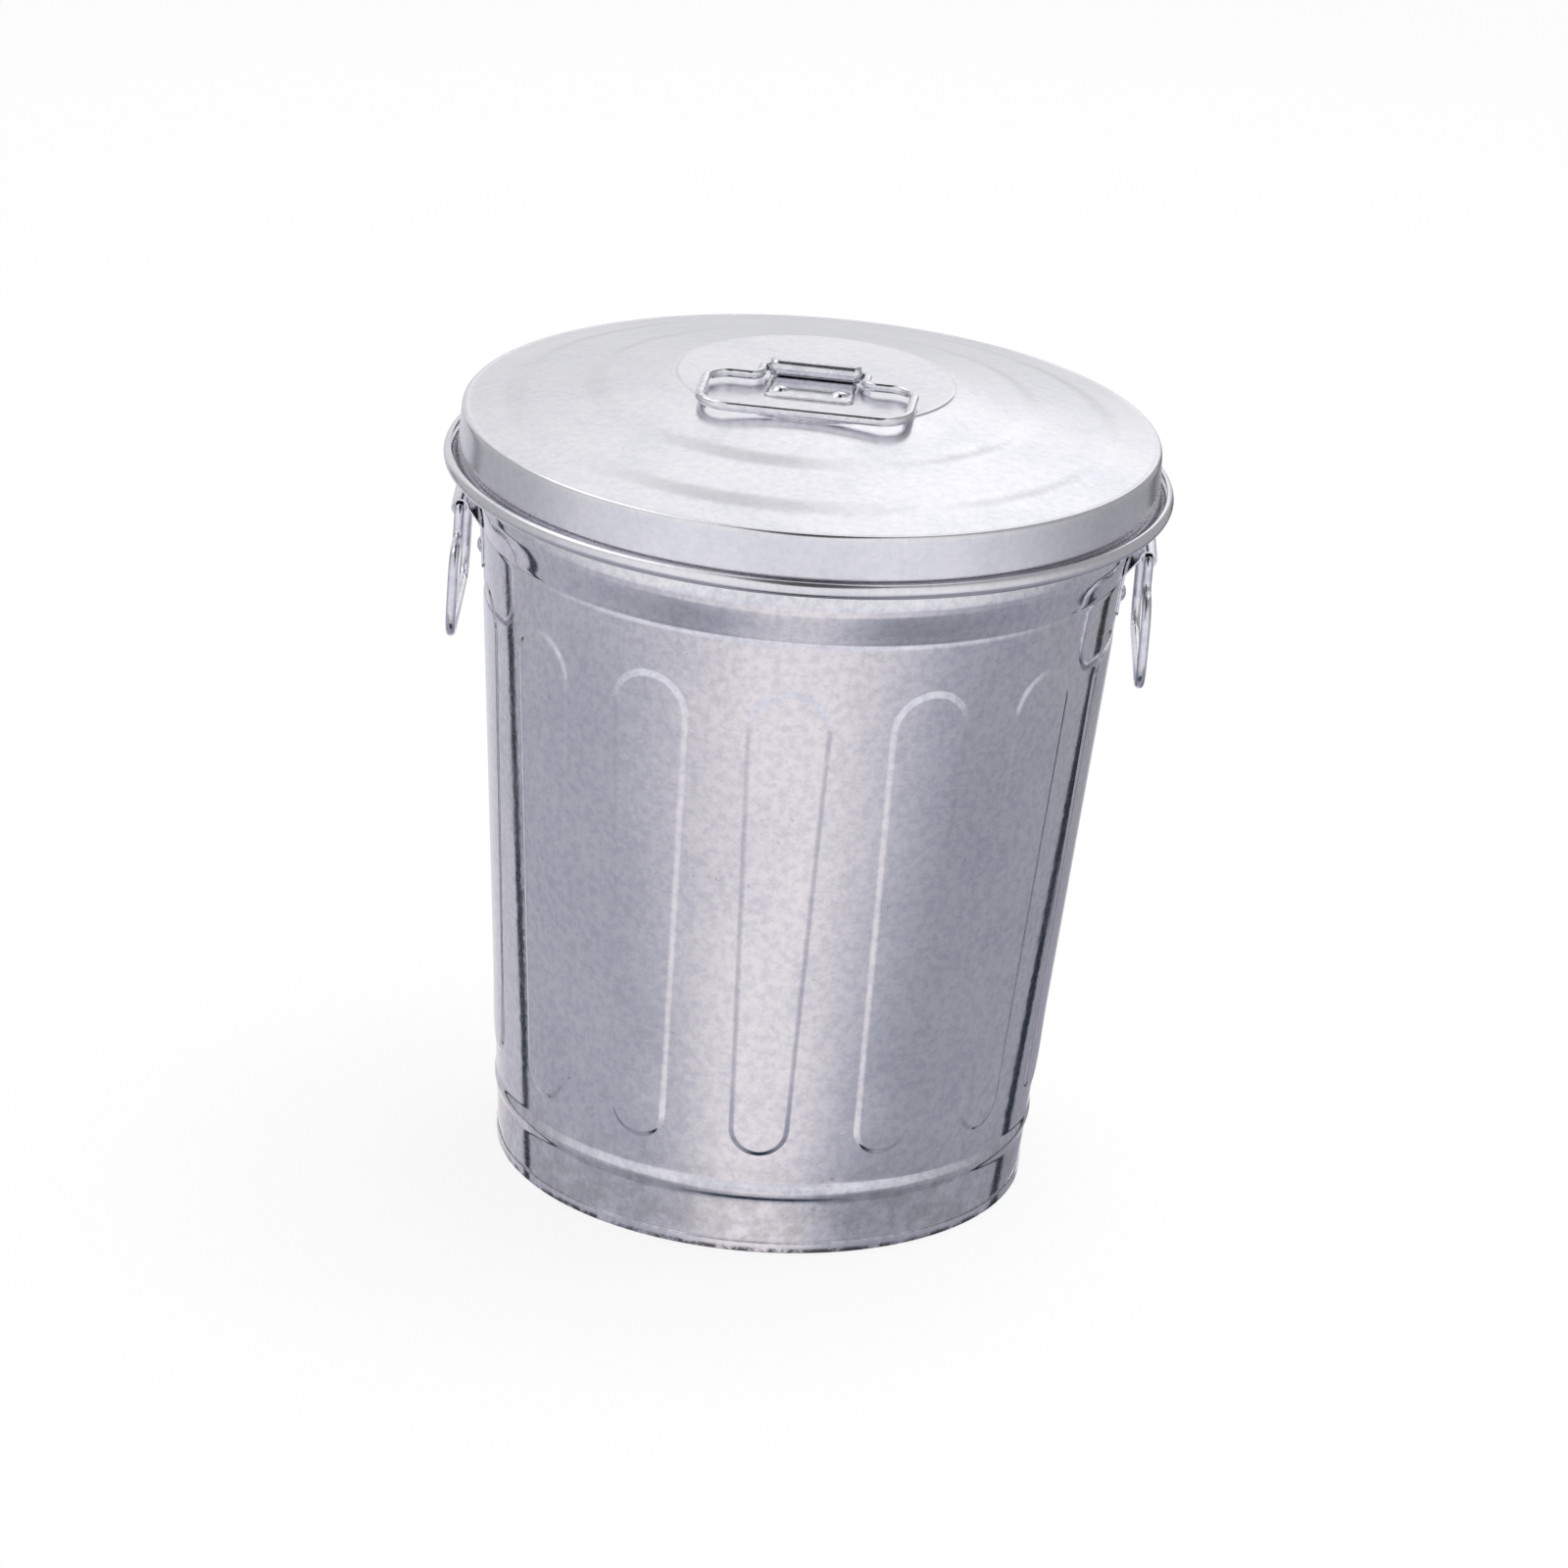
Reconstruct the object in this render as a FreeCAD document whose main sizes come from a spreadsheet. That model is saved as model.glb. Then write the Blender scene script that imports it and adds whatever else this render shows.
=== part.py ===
"""A galvanized trash can with a lift-off lid, in millimetres.

The can stands on z = 0 with its axis on z. The front is -Y, and the two drop handles are at +X and -X.
"""
import FreeCAD
import Part

import math
import os
import re

import Sketcher

# Driving dimensions, in millimetres, degrees or counts.
SIZES = {
    # sheet steel and the clearances between pieces
    "sheet": 0.7,
    "fold_gap": 0.1,
    "seat_gap": 0.3,
    # tapered wall
    "base_radius": 122.0,
    "mouth_radius": 150.0,
    "mouth_height": 353.1,
    "bead_low": 25.0,
    "bead_high": 36.0,
    "bead_rise": 2.0,
    "collar_below_mouth": 49.8,
    "collar_slope": 7.7,
    "collar_band": 11.0,
    "collar_return": 6.0,
    "collar_rise": 2.6,
    # flutes pressed outward round the wall
    "flute_count": 14,
    "flute_low": 63.0,
    "flute_below_collar": 43.3,
    "flute_low_half_width": 12.6,
    "flute_high_half_width": 17.9,
    "flute_rise": 1.5,
    "flute_bevel": 52.0,
    "flute_root": 4.0,
    # lapped seam up the back of the wall, between two flutes
    "lap_angle": 3.6,
    "lap_rise": 0.8,
    "lap_low": 6.0,
    "lap_below_collar": 2.3,
    # wired edge at the mouth
    "rim_wire_radius": 1.6,
    "rim_wire_gap": 0.3,
    # base pan and the seam that holds it
    "floor_height": 10.0,
    "floor_bend": 3.0,
    "floor_rise": 1.5,
    "floor_panel_radius": 92.0,
    "floor_slope_width": 3.0,
    "seam_height": 4.6,
    # lid
    "lid_play": 2.7,
    "lid_flare": 1.0,
    "lid_hem_radius": 3.4,
    "lid_corner_bend": 2.5,
    "lid_slope": 0.186,
    "lid_panel_radius": 63.0,
    "lid_panel_rise": 1.1,
    "lid_panel_bevel": 1.5,
    "lid_step_drop": 1.0,
    "lid_inner_step_inset": 63.9,
    "lid_inner_step_width": 9.0,
    "lid_outer_step_inset": 29.9,
    "lid_outer_step_width": 12.0,
    "lid_skirt": 22.7,
    "lid_turn": 5.0,
    # wire bails, alike but for their reach
    "bail_wire_radius": 2.2,
    "bail_neck_half_width": 23.6,
    "bail_neck_bend": 3.2,
    "bail_shoulder": 13.5,
    "bail_shoulder_bend": 5.0,
    "bail_half_width": 46.8,
    "bail_back_bend": 11.0,
    "bail_front_bend": 14.0,
    "lid_bail_reach": 58.5,
    "ear_bail_reach": 54.0,
    "bail_butt_gap": 0.6,
    # sheet brackets that carry the bails
    "bracket_sheet": 0.8,
    "bracket_gap": 1.0,
    "bracket_half_width": 20.2,
    "bracket_plate": 31.0,
    "bracket_corner": 4.0,
    "rivet_spacing": 26.8,
    "rivet_distance": 21.0,
    "lid_hinge_back": -3.2,
    "ear_hinge_above_collar": 5.7,
    "ear_standoff": 2.2,
    "ear_plate_below_collar": 3.3,
    "ear_plate_length": 20.0,
    # rivets
    "rivet_radius": 2.0,
    "rivet_gap": 0.1,
    "rivet_head_radius": 3.9,
    "rivet_head_height": 1.6,
    "rivet_tail_radius": 3.3,
    "rivet_tail_height": 1.0,
}

document = FreeCAD.newDocument("TrashCan")


def write_sizes():
    """Put every driving dimension in the sheet, under its own name."""
    sheet = document.addObject("Spreadsheet::Sheet", "Sizes")
    for row, (name, size) in enumerate(SIZES.items(), start=1):
        sheet.set(f"A{row}", name)
        sheet.set(f"B{row}", str(size))
        sheet.setAlias(f"B{row}", name)
    document.recompute()
    return sheet


sizes = write_sizes()


def sized(expression):
    """Give each size named in an expression the form that finds it in the sheet."""
    def in_sheet(word):
        return f"Sizes.{word[0]}" if word[0] in SIZES else word[0]
    return re.sub(r"[A-Za-z_]\w*", in_sheet, expression)


def value(expression):
    """The number that an expression in sizes comes to."""
    return float(sizes.evalExpression(sized(expression)))


# Expressions that several pieces share.
WALL_SLOPE = "((mouth_radius - base_radius) / mouth_height)"
WALL_LEAN = f"atan({WALL_SLOPE})"
RIM_ROLL = "(rim_wire_radius + rim_wire_gap + sheet)"
RIM_CENTRE = "(mouth_radius + rim_wire_radius + rim_wire_gap)"
COLLAR_LOW = "(mouth_height - collar_below_mouth)"
COLLAR_FULL = f"({COLLAR_LOW} + collar_slope)"
COLLAR_HIGH = f"({COLLAR_FULL} + collar_band)"
COLLAR_END = f"({COLLAR_HIGH} + collar_return)"
FLUTE_HIGH = f"({COLLAR_LOW} - flute_below_collar)"
FLUTE_MIDDLE = f"((flute_low + {FLUTE_HIGH}) / 2)"
LAP_HIGH = f"({COLLAR_LOW} - lap_below_collar)"
EAR_HINGE_HEIGHT = f"({COLLAR_LOW} + ear_hinge_above_collar)"
EAR_PLATE_HIGH = f"({COLLAR_LOW} - ear_plate_below_collar)"
EAR_PLATE_LOW = f"({EAR_PLATE_HIGH} - ear_plate_length)"
EAR_RIVET_HEIGHT = f"({EAR_PLATE_HIGH} - ear_plate_length / 2)"
LID_CORNER = f"({RIM_CENTRE} + {RIM_ROLL} + lid_play + sheet)"
HEM_CENTRE = f"({LID_CORNER} - sheet + lid_flare + lid_hem_radius)"
CURL_BORE = "(bail_wire_radius + bracket_gap)"
CURL_OUTER = f"({CURL_BORE} + bracket_sheet)"


def wall(height):
    """Outer radius of the plain wall at a height."""
    return f"(base_radius + {WALL_SLOPE} * ({height}))"


LID_PANEL_FOOT = (
    f"(mouth_height + {RIM_ROLL} + seat_gap + sheet + 2 * lid_step_drop"
    f" + lid_slope * ({RIM_CENTRE} - lid_panel_radius))"
)
LID_TOP = f"({LID_PANEL_FOOT} + lid_panel_rise)"


def lid_slope_at(radius, steps):
    """Height of the lid's upper face at a radius, below so many of its two soft steps."""
    return f"({LID_PANEL_FOOT} - lid_slope * (({radius}) - lid_panel_radius) - {steps} * lid_step_drop)"


HEM_HEIGHT = f"({lid_slope_at(LID_CORNER, 2)} - lid_skirt)"
LID_HINGE_HEIGHT = f"({LID_TOP} + {CURL_OUTER})"
EAR_HINGE_RADIUS = f"({wall(EAR_HINGE_HEIGHT)} + collar_rise + ear_standoff + {CURL_OUTER})"


def new_body(label):
    """An empty body with its label."""
    body = document.addObject("PartDesign::Body", label)
    body.Label = label
    return body


def plane_sketch(body, name, role):
    """A sketch flat on one of the body's own origin planes."""
    sketch = body.newObject("Sketcher::SketchObject", name)
    plane = next(feature for feature in body.Origin.OriginFeatures if feature.Role == role)
    sketch.AttachmentSupport = [(plane, "")]
    sketch.MapMode = "FlatFace"
    return sketch


def arc_between(start, end, radius, turn):
    """The arc under a half circle from start to end, anticlockwise for turn 1, clockwise for -1."""
    chord = end - start
    half = chord.Length / 2
    sideways = FreeCAD.Vector(-chord.y, chord.x, 0).normalize() * turn
    centre = (start + end) / 2 + sideways * math.sqrt(max(radius ** 2 - half ** 2, 0.0))
    first, last = (start, end) if turn > 0 else (end, start)
    first_angle = math.atan2(first.y - centre.y, first.x - centre.x)
    last_angle = math.atan2(last.y - centre.y, last.x - centre.x)
    circle = Part.Circle(centre, FreeCAD.Vector(0, 0, 1), radius)
    return Part.ArcOfCircle(circle, first_angle, last_angle)


def place_end(sketch, line, end, across, up):
    """Hold one end of a drawn line at its two expressions, or on the axis where one is 0."""
    for kind, axis, expression in (("DistanceX", -2, across), ("DistanceY", -1, up)):
        if expression == "0":
            sketch.addConstraint(Sketcher.Constraint("PointOnObject", line, end, axis))
            continue
        number = sketch.addConstraint(Sketcher.Constraint(kind, line, end, value(expression)))
        sketch.setExpression(f"Constraints[{number}]", sized(expression))


def draw_chain(sketch, points, closed=True):
    """Draw straight runs and arcs through points whose places and radii are expressions.

    A point is (across, up), reached by a straight run, or (across, up, radius, turn), reached by an arc.
    """
    places = [FreeCAD.Vector(value(point[0]), value(point[1]), 0) for point in points]
    previous = None
    first = None
    for index in range(0 if closed else 1, len(points)):
        across, up, *bend = points[index]
        start, end = places[index - 1], places[index]
        begins, ends = 1, 2
        if bend:
            radius, turn = bend
            line = sketch.addGeometry(arc_between(start, end, value(radius), turn))
            if turn < 0:
                begins, ends = 2, 1
        else:
            line = sketch.addGeometry(Part.LineSegment(start, end))
        if previous:
            sketch.addConstraint(Sketcher.Constraint("Coincident", *previous, line, begins))
        else:
            first = (line, begins)
            if not closed:
                place_end(sketch, line, begins, *points[0][:2])
        place_end(sketch, line, ends, across, up)
        if bend:
            number = sketch.addConstraint(Sketcher.Constraint("Radius", line, value(radius)))
            sketch.setExpression(f"Constraints[{number}]", sized(radius))
        previous = (line, ends)
    if closed:
        sketch.addConstraint(Sketcher.Constraint("Coincident", *previous, *first))


def revolve(body, name, points, role="XZ_Plane"):
    """Turn a closed outline of radius and height once round the body's own z axis."""
    sketch = plane_sketch(body, f"{name}_section", role)
    draw_chain(sketch, points)
    turned = body.newObject("PartDesign::Revolution", name)
    turned.Profile = sketch
    turned.ReferenceAxis = (sketch, ["V_Axis"])
    turned.Angle = 360
    return turned


def curl_steps(across, up, radius, quarters, turn):
    """The ends of quarter turns round a centre, by the compass letters that they reach."""
    reach = {"right": (1, 0), "top": (0, 1), "left": (-1, 0), "bottom": (0, -1)}
    steps = []
    for quarter in quarters:
        right, rise = reach[quarter]
        steps.append((f"{across} + ({right}) * {radius}", f"{up} + ({rise}) * {radius}", radius, turn))
    return steps


# ---------------------------------------------------------------- wall

def wall_line(inset):
    """The wall's section from low to high: the bead, and the collar under the lid."""
    bead_radius = "(((bead_high - bead_low) ^ 2 / 4 + bead_rise ^ 2) / (2 * bead_rise))"
    return [
        (f"{wall('bead_low')} - {inset}", "bead_low"),
        (f"{wall('bead_high')} - {inset}", "bead_high", bead_radius, 1),
        (f"{wall(COLLAR_LOW)} - {inset}", COLLAR_LOW),
        (f"{wall(COLLAR_FULL)} + collar_rise - {inset}", COLLAR_FULL),
        (f"{wall(COLLAR_HIGH)} + collar_rise - {inset}", COLLAR_HIGH),
        (f"{wall(COLLAR_END)} - {inset}", COLLAR_END),
    ]


def flute_outline(inset):
    """One flute as seen from the front, from its lower arc to its upper arc, about its middle."""
    low, high = f"flute_low - {FLUTE_MIDDLE}", f"{FLUTE_HIGH} - {FLUTE_MIDDLE}"
    narrow, wide = f"(flute_low_half_width - ({inset}))", f"(flute_high_half_width - ({inset}))"
    spread = f"asin(({wide} - {narrow}) / ({FLUTE_HIGH} - flute_low))"
    return [
        (f"{narrow} * cos({spread})", f"{low} - {narrow} * sin({spread})", narrow, 1),
        (f"{wide} * cos({spread})", f"{high} - {wide} * sin({spread})"),
        ("0", f"{high} + {wide}", wide, 1),
        (f"-{wide} * cos({spread})", f"{high} - {wide} * sin({spread})", wide, 1),
        (f"-{narrow} * cos({spread})", f"{low} - {narrow} * sin({spread})"),
        ("0", f"{low} - {narrow}", narrow, 1),
    ]


def fluted_core(label, inset, low, high):
    """The solid that one face of the fluted wall encloses, an inset in from the outer face."""
    body = new_body(label)
    section = [("0", low), (f"{wall(low)} - {inset}", low)]
    section += wall_line(inset)
    section += [(f"{wall(high)} - {inset}", high), ("0", high)]
    revolve(body, f"{label}_turned", section)

    sketch = plane_sketch(body, f"{label}_flute_outline", "XZ_Plane")
    sketch.AttachmentOffset = FreeCAD.Placement(
        FreeCAD.Vector(0, 1, 1), FreeCAD.Rotation(FreeCAD.Vector(1, 0, 0), 1))
    sketch.setExpression("AttachmentOffset.Base.y", sized(FLUTE_MIDDLE))
    sketch.setExpression("AttachmentOffset.Base.z", sized(f"{wall(FLUTE_MIDDLE)} - {inset} - flute_root"))
    sketch.setExpression("AttachmentOffset.Rotation.Angle", sized(WALL_LEAN))
    draw_chain(sketch, flute_outline(f"{inset} - flute_root * tan(flute_bevel)"))
    flute = body.newObject("PartDesign::Pad", f"{label}_flute")
    flute.Profile = sketch
    flute.setExpression("Length", sized("flute_root + flute_rise + sheet"))
    flute.setExpression("TaperAngle", sized("-flute_bevel"))
    body.Tip = flute

    ring = body.newObject("PartDesign::PolarPattern", f"{label}_flutes")
    ring.Originals = [flute]
    ring.Axis = (z_axis(body), [""])
    ring.setExpression("Occurrences", sized("flute_count"))
    body.Tip = ring

    low_end, high_end = "bead_high + sheet", f"{COLLAR_LOW} - sheet"
    clear = "flute_rise + 2 * flute_root"
    trim = plane_sketch(body, f"{label}_trim_section", "XZ_Plane")
    draw_chain(trim, [
        (f"{wall(low_end)} + flute_rise - {inset}", low_end),
        (f"{wall(low_end)} + {clear}", low_end),
        (f"{wall(high_end)} + {clear}", high_end),
        (f"{wall(high_end)} + flute_rise - {inset}", high_end),
    ])
    trimmed = body.newObject("PartDesign::Groove", f"{label}_trimmed")
    trimmed.Profile = trim
    trimmed.ReferenceAxis = (trim, ["V_Axis"])
    trimmed.Angle = 360
    body.Tip = trimmed
    return body


def z_axis(body):
    """The body's own z axis."""
    return next(feature for feature in body.Origin.OriginFeatures if feature.Role == "Z_Axis")


def cut(name, base, tool):
    """What is left of one object when another is taken out of it."""
    result = document.addObject("Part::Cut", name)
    result.Base = base
    result.Tool = tool
    return result


def join(name, pieces):
    """Several objects of one sheet made into one."""
    result = document.addObject("Part::MultiFuse", name)
    result.Shapes = pieces
    return result


def group(name, pieces):
    """Several separate solids kept as one object."""
    result = document.addObject("Part::Compound", name)
    result.Links = pieces
    return result


def turn_about_z(item, angle):
    """Turn an object round the can's axis by an expression in degrees."""
    item.Placement = FreeCAD.Placement(FreeCAD.Vector(), FreeCAD.Rotation(FreeCAD.Vector(0, 0, 1), 1))
    item.setExpression("Placement.Rotation.Angle", sized(angle))


def rolled_rim():
    """The wall's edge rolled outward round the rim wire, open below on the wall side."""
    body = new_body("rim_roll")
    inner = "(rim_wire_radius + rim_wire_gap)"
    revolve(body, "rim_roll_turned", [
        (f"{RIM_CENTRE} - {RIM_ROLL}", "mouth_height"),
        *curl_steps(RIM_CENTRE, "mouth_height", RIM_ROLL, ("top", "right", "bottom"), -1),
        (RIM_CENTRE, f"mouth_height - {inner}"),
        *curl_steps(RIM_CENTRE, "mouth_height", inner, ("right", "top", "left"), 1),
    ])
    return body


def lapped_seam():
    """The raised lap where the wall's two edges are hooked together, behind, between two flutes."""
    body = new_body("lap_seam")
    sketch = plane_sketch(body, "lap_section", "XZ_Plane")
    draw_chain(sketch, [
        (f"{wall('lap_low')} - sheet / 2", "lap_low"),
        (f"{wall('lap_low')} + lap_rise", "lap_low"),
        (f"{wall(LAP_HIGH)} + lap_rise", LAP_HIGH),
        (f"{wall(LAP_HIGH)} - sheet / 2", LAP_HIGH),
    ])
    lap = body.newObject("PartDesign::Revolution", "lap")
    lap.Profile = sketch
    lap.ReferenceAxis = (sketch, ["V_Axis"])
    lap.Midplane = True
    lap.setExpression("Angle", sized("lap_angle"))
    turn_about_z(body, "360 * (floor(flute_count / 2) - 0.5) / flute_count - 90")
    return body


def rim_wire():
    """The wire that stiffens the mouth, a closed ring inside the rolled edge."""
    ring = document.addObject("Part::Torus", "rim_wire")
    ring.setExpression("Radius1", sized(RIM_CENTRE))
    ring.setExpression("Radius2", sized("rim_wire_radius"))
    ring.setExpression("Placement.Base.z", sized("mouth_height"))
    return ring


# ---------------------------------------------------------------- base

def base_pan():
    """The floor, its skirt inside the wall, and the fold that grips the wall's lower edge."""
    body = new_body("base_pan")
    bend = "floor_height - floor_bend"
    skirt = f"{wall(bend)} - sheet - fold_gap"
    foot = "sheet"
    revolve(body, "base_pan_turned", [
        ("0", "floor_height + floor_rise"),
        ("floor_panel_radius", "floor_height + floor_rise"),
        ("floor_panel_radius + floor_slope_width", "floor_height"),
        (f"{skirt} - floor_bend", "floor_height"),
        (skirt, bend, "floor_bend", -1),
        (f"{wall(foot)} - sheet - fold_gap", foot),
        (f"{wall(foot)} + fold_gap", foot),
        (f"{wall('seam_height')} + fold_gap", "seam_height"),
        (f"{wall('seam_height')} + fold_gap + sheet", "seam_height"),
        (f"{wall(foot)} + fold_gap + sheet", foot),
        (f"{wall(foot)} + fold_gap", "0", "sheet", -1),
        (f"{wall(foot)} - sheet - fold_gap", "0"),
        (f"{wall(foot)} - 2 * sheet - fold_gap", foot, "sheet", -1),
        (f"{skirt} - sheet", bend),
        (f"{skirt} - floor_bend", "floor_height - sheet", "floor_bend - sheet", 1),
        ("floor_panel_radius + floor_slope_width", "floor_height - sheet"),
        ("floor_panel_radius", "floor_height + floor_rise - sheet"),
        ("0", "floor_height + floor_rise - sheet"),
    ])
    return body


# ---------------------------------------------------------------- lid

def lid_sheet():
    """The domed lid: flat middle panel, slope with two soft steps, skirt and outward rolled hem."""
    inner_step = f"{LID_CORNER} - lid_inner_step_inset"
    outer_step = f"{LID_CORNER} - lid_outer_step_inset"
    inner_end, outer_end = f"{inner_step} + lid_inner_step_width", f"{outer_step} + lid_outer_step_width"
    bend_start = f"{LID_CORNER} - lid_corner_bend"
    slope = [
        ("lid_panel_radius", LID_PANEL_FOOT),
        (inner_step, lid_slope_at(inner_step, 0)),
        (inner_end, lid_slope_at(inner_end, 1)),
        (outer_step, lid_slope_at(outer_step, 1)),
        (outer_end, lid_slope_at(outer_end, 2)),
        (bend_start, lid_slope_at(bend_start, 2)),
    ]
    inner = "(lid_hem_radius - sheet)"
    below_bend = f"{lid_slope_at(bend_start, 2)} - lid_corner_bend"
    upper = [("0", LID_TOP), ("lid_panel_radius - lid_panel_bevel", LID_TOP), *slope]
    under = [(across, f"{up} - sheet") for across, up in reversed(upper)]
    body = new_body("lid_sheet")
    revolve(body, "lid_turned", [
        *upper,
        (LID_CORNER, below_bend, "lid_corner_bend", -1),
        (f"{HEM_CENTRE} - {inner}", HEM_HEIGHT),
        *curl_steps(HEM_CENTRE, HEM_HEIGHT, inner, ("bottom", "right", "top"), 1),
        (HEM_CENTRE, f"{HEM_HEIGHT} + lid_hem_radius"),
        *curl_steps(HEM_CENTRE, HEM_HEIGHT, "lid_hem_radius", ("right", "bottom", "left"), -1),
        (f"{LID_CORNER} - sheet", below_bend),
        (*under[0], "lid_corner_bend - sheet", 1),
        *under[1:],
    ])
    return body


def lid_bracket_sheet():
    """The lid's bracket: a plate on the panel whose back edge is curled over the bail."""
    body = new_body("lid_bracket_sheet")
    sketch = plane_sketch(body, "lid_bracket_section", "YZ_Plane")
    draw_chain(sketch, [
        ("-bracket_plate", "0"),
        ("0", "0"),
        *curl_steps("0", CURL_OUTER, CURL_OUTER, ("right", "top", "left"), 1),
        (f"-{CURL_BORE}", CURL_OUTER),
        *curl_steps("0", CURL_OUTER, CURL_BORE, ("top", "right", "bottom"), -1),
        ("-bracket_plate", "bracket_sheet"),
    ])
    plate = body.newObject("PartDesign::Pad", "lid_bracket_curled")
    plate.Profile = sketch
    plate.Midplane = True
    plate.setExpression("Length", sized("2 * bracket_half_width"))
    document.recompute()
    corners = upright_edges(plate.Shape, lambda point: abs(point.y + value("bracket_plate")) < 0.01)
    round_corners(body, "lid_bracket_corners", plate, corners)
    body.setExpression("Placement.Base.y", sized("lid_hinge_back"))
    body.setExpression("Placement.Base.z", sized(LID_TOP))
    return body


def upright_edges(shape, chosen):
    """The names of the short straight edges whose middles are chosen, as a fillet takes them."""
    names = []
    for number, edge in enumerate(shape.Edges, start=1):
        if edge.Length < 2 * value("bracket_sheet") and chosen(edge.CenterOfMass):
            names.append(f"Edge{number}")
    return names


def round_corners(body, name, base, edges):
    """Round the free corners of a bracket's plate."""
    fillet = body.newObject("PartDesign::Fillet", name)
    fillet.Base = (base, edges)
    fillet.setExpression("Radius", sized("bracket_corner"))
    body.Tip = fillet


# ---------------------------------------------------------------- ears

def ear_sheet(side, angle):
    """A wall bracket: a plate bent to the wall, a strap out past the collar, and a curl for the bail."""
    body = new_body(f"{side}_ear_sheet")
    half_angle = f"asin(bracket_half_width / {wall(EAR_RIVET_HEIGHT)})"
    low_inner, high_inner = f"{wall(EAR_PLATE_LOW)} + fold_gap", f"{wall(EAR_PLATE_HIGH)} + fold_gap"
    section = plane_sketch(body, f"{side}_ear_plate_section", "XZ_Plane")
    draw_chain(section, [
        (low_inner, EAR_PLATE_LOW),
        (f"{low_inner} + bracket_sheet", EAR_PLATE_LOW),
        (f"{high_inner} + bracket_sheet", EAR_PLATE_HIGH),
        (high_inner, EAR_PLATE_HIGH),
    ])
    plate = body.newObject("PartDesign::Revolution", f"{side}_ear_plate")
    plate.Profile = section
    plate.ReferenceAxis = (section, ["V_Axis"])
    plate.Midplane = True
    plate.setExpression("Angle", sized(f"2 * {half_angle}"))
    document.recompute()
    low = value(EAR_PLATE_LOW)
    corners = upright_edges(plate.Shape, lambda point: abs(point.z - low) < 0.01)
    round_corners(body, f"{side}_ear_corners", plate, corners)

    inner, outer = f"({high_inner})", f"({high_inner} + bracket_sheet)"
    foot = plane_sketch(body, f"{side}_strap_foot", "XY_Plane")
    foot.setExpression("AttachmentOffset.Base.z", sized(EAR_PLATE_HIGH))
    draw_chain(foot, [
        (f"{inner} * cos({half_angle})", f"-{inner} * sin({half_angle})", inner, -1),
        (f"{outer} * cos({half_angle})", f"-{outer} * sin({half_angle})"),
        (f"{outer} * cos({half_angle})", f"{outer} * sin({half_angle})", outer, 1),
        (f"{inner} * cos({half_angle})", f"{inner} * sin({half_angle})"),
    ])
    head = plane_sketch(body, f"{side}_strap_head", "XY_Plane")
    head.setExpression("AttachmentOffset.Base.z", sized(EAR_HINGE_HEIGHT))
    near, far = f"{EAR_HINGE_RADIUS} - {CURL_OUTER}", f"{EAR_HINGE_RADIUS} - {CURL_BORE}"
    draw_chain(head, [
        (near, "-bracket_half_width"),
        (far, "-bracket_half_width"),
        (far, "bracket_half_width"),
        (near, "bracket_half_width"),
    ])
    strap = body.newObject("PartDesign::AdditiveLoft", f"{side}_ear_strap")
    strap.Profile = foot
    strap.Sections = [head]
    strap.Ruled = True
    body.Tip = strap

    curl = plane_sketch(body, f"{side}_ear_curl_section", "XZ_Plane")
    draw_chain(curl, [
        (f"{EAR_HINGE_RADIUS} - {CURL_OUTER}", EAR_HINGE_HEIGHT),
        *curl_steps(EAR_HINGE_RADIUS, EAR_HINGE_HEIGHT, CURL_OUTER, ("top", "right", "bottom"), -1),
        (EAR_HINGE_RADIUS, f"{EAR_HINGE_HEIGHT} - {CURL_BORE}"),
        *curl_steps(EAR_HINGE_RADIUS, EAR_HINGE_HEIGHT, CURL_BORE, ("right", "top", "left"), 1),
    ])
    rolled = body.newObject("PartDesign::Pad", f"{side}_ear_curl")
    rolled.Profile = curl
    rolled.Midplane = True
    rolled.setExpression("Length", sized("2 * bracket_half_width"))
    body.Tip = rolled
    turn_about_z(body, angle)
    return body


# ---------------------------------------------------------------- bails

def bail(label, reach):
    """A wire bail about its own hinge axis along x, reaching towards -y, its ends meeting in the curl."""
    body = new_body(label)
    path = plane_sketch(body, f"{label}_path", "XY_Plane")
    neck, side = "bail_neck_half_width", "bail_half_width"
    right = [
        (f"{neck} - bail_neck_bend", "0"),
        (neck, "-bail_neck_bend", "bail_neck_bend", -1),
        (neck, "bail_shoulder_bend - bail_shoulder"),
        (f"{neck} + bail_shoulder_bend", "-bail_shoulder", "bail_shoulder_bend", 1),
        (f"{side} - bail_back_bend", "-bail_shoulder"),
        (side, "-bail_shoulder - bail_back_bend", "bail_back_bend", -1),
        (side, f"bail_front_bend - {reach}"),
        (f"{side} - bail_front_bend", f"-{reach}", "bail_front_bend", -1),
    ]
    left = []
    for index in range(len(right) - 1, -1, -1):
        across, up = right[index][:2]
        bend = right[index + 1][2:] if index + 1 < len(right) else ()
        left.append((f"-({across})", up, *bend))
    draw_chain(path, [
        ("bail_butt_gap / 2", "0"), *right, *left, ("-bail_butt_gap / 2", "0"),
    ], closed=False)
    ring = plane_sketch(body, f"{label}_wire_section", "YZ_Plane")
    ring.setExpression("AttachmentOffset.Base.z", sized("bail_butt_gap / 2"))
    ring.addGeometry(Part.Circle(FreeCAD.Vector(), FreeCAD.Vector(0, 0, 1), value("bail_wire_radius")))
    ring.addConstraint(Sketcher.Constraint("Coincident", 0, 3, -1, 1))
    number = ring.addConstraint(Sketcher.Constraint("Radius", 0, value("bail_wire_radius")))
    ring.setExpression(f"Constraints[{number}]", sized("bail_wire_radius"))
    wire = body.newObject("PartDesign::AdditivePipe", f"{label}_wire")
    wire.Profile = ring
    wire.Spine = (path, [])
    body.Tip = wire
    return body


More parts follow.
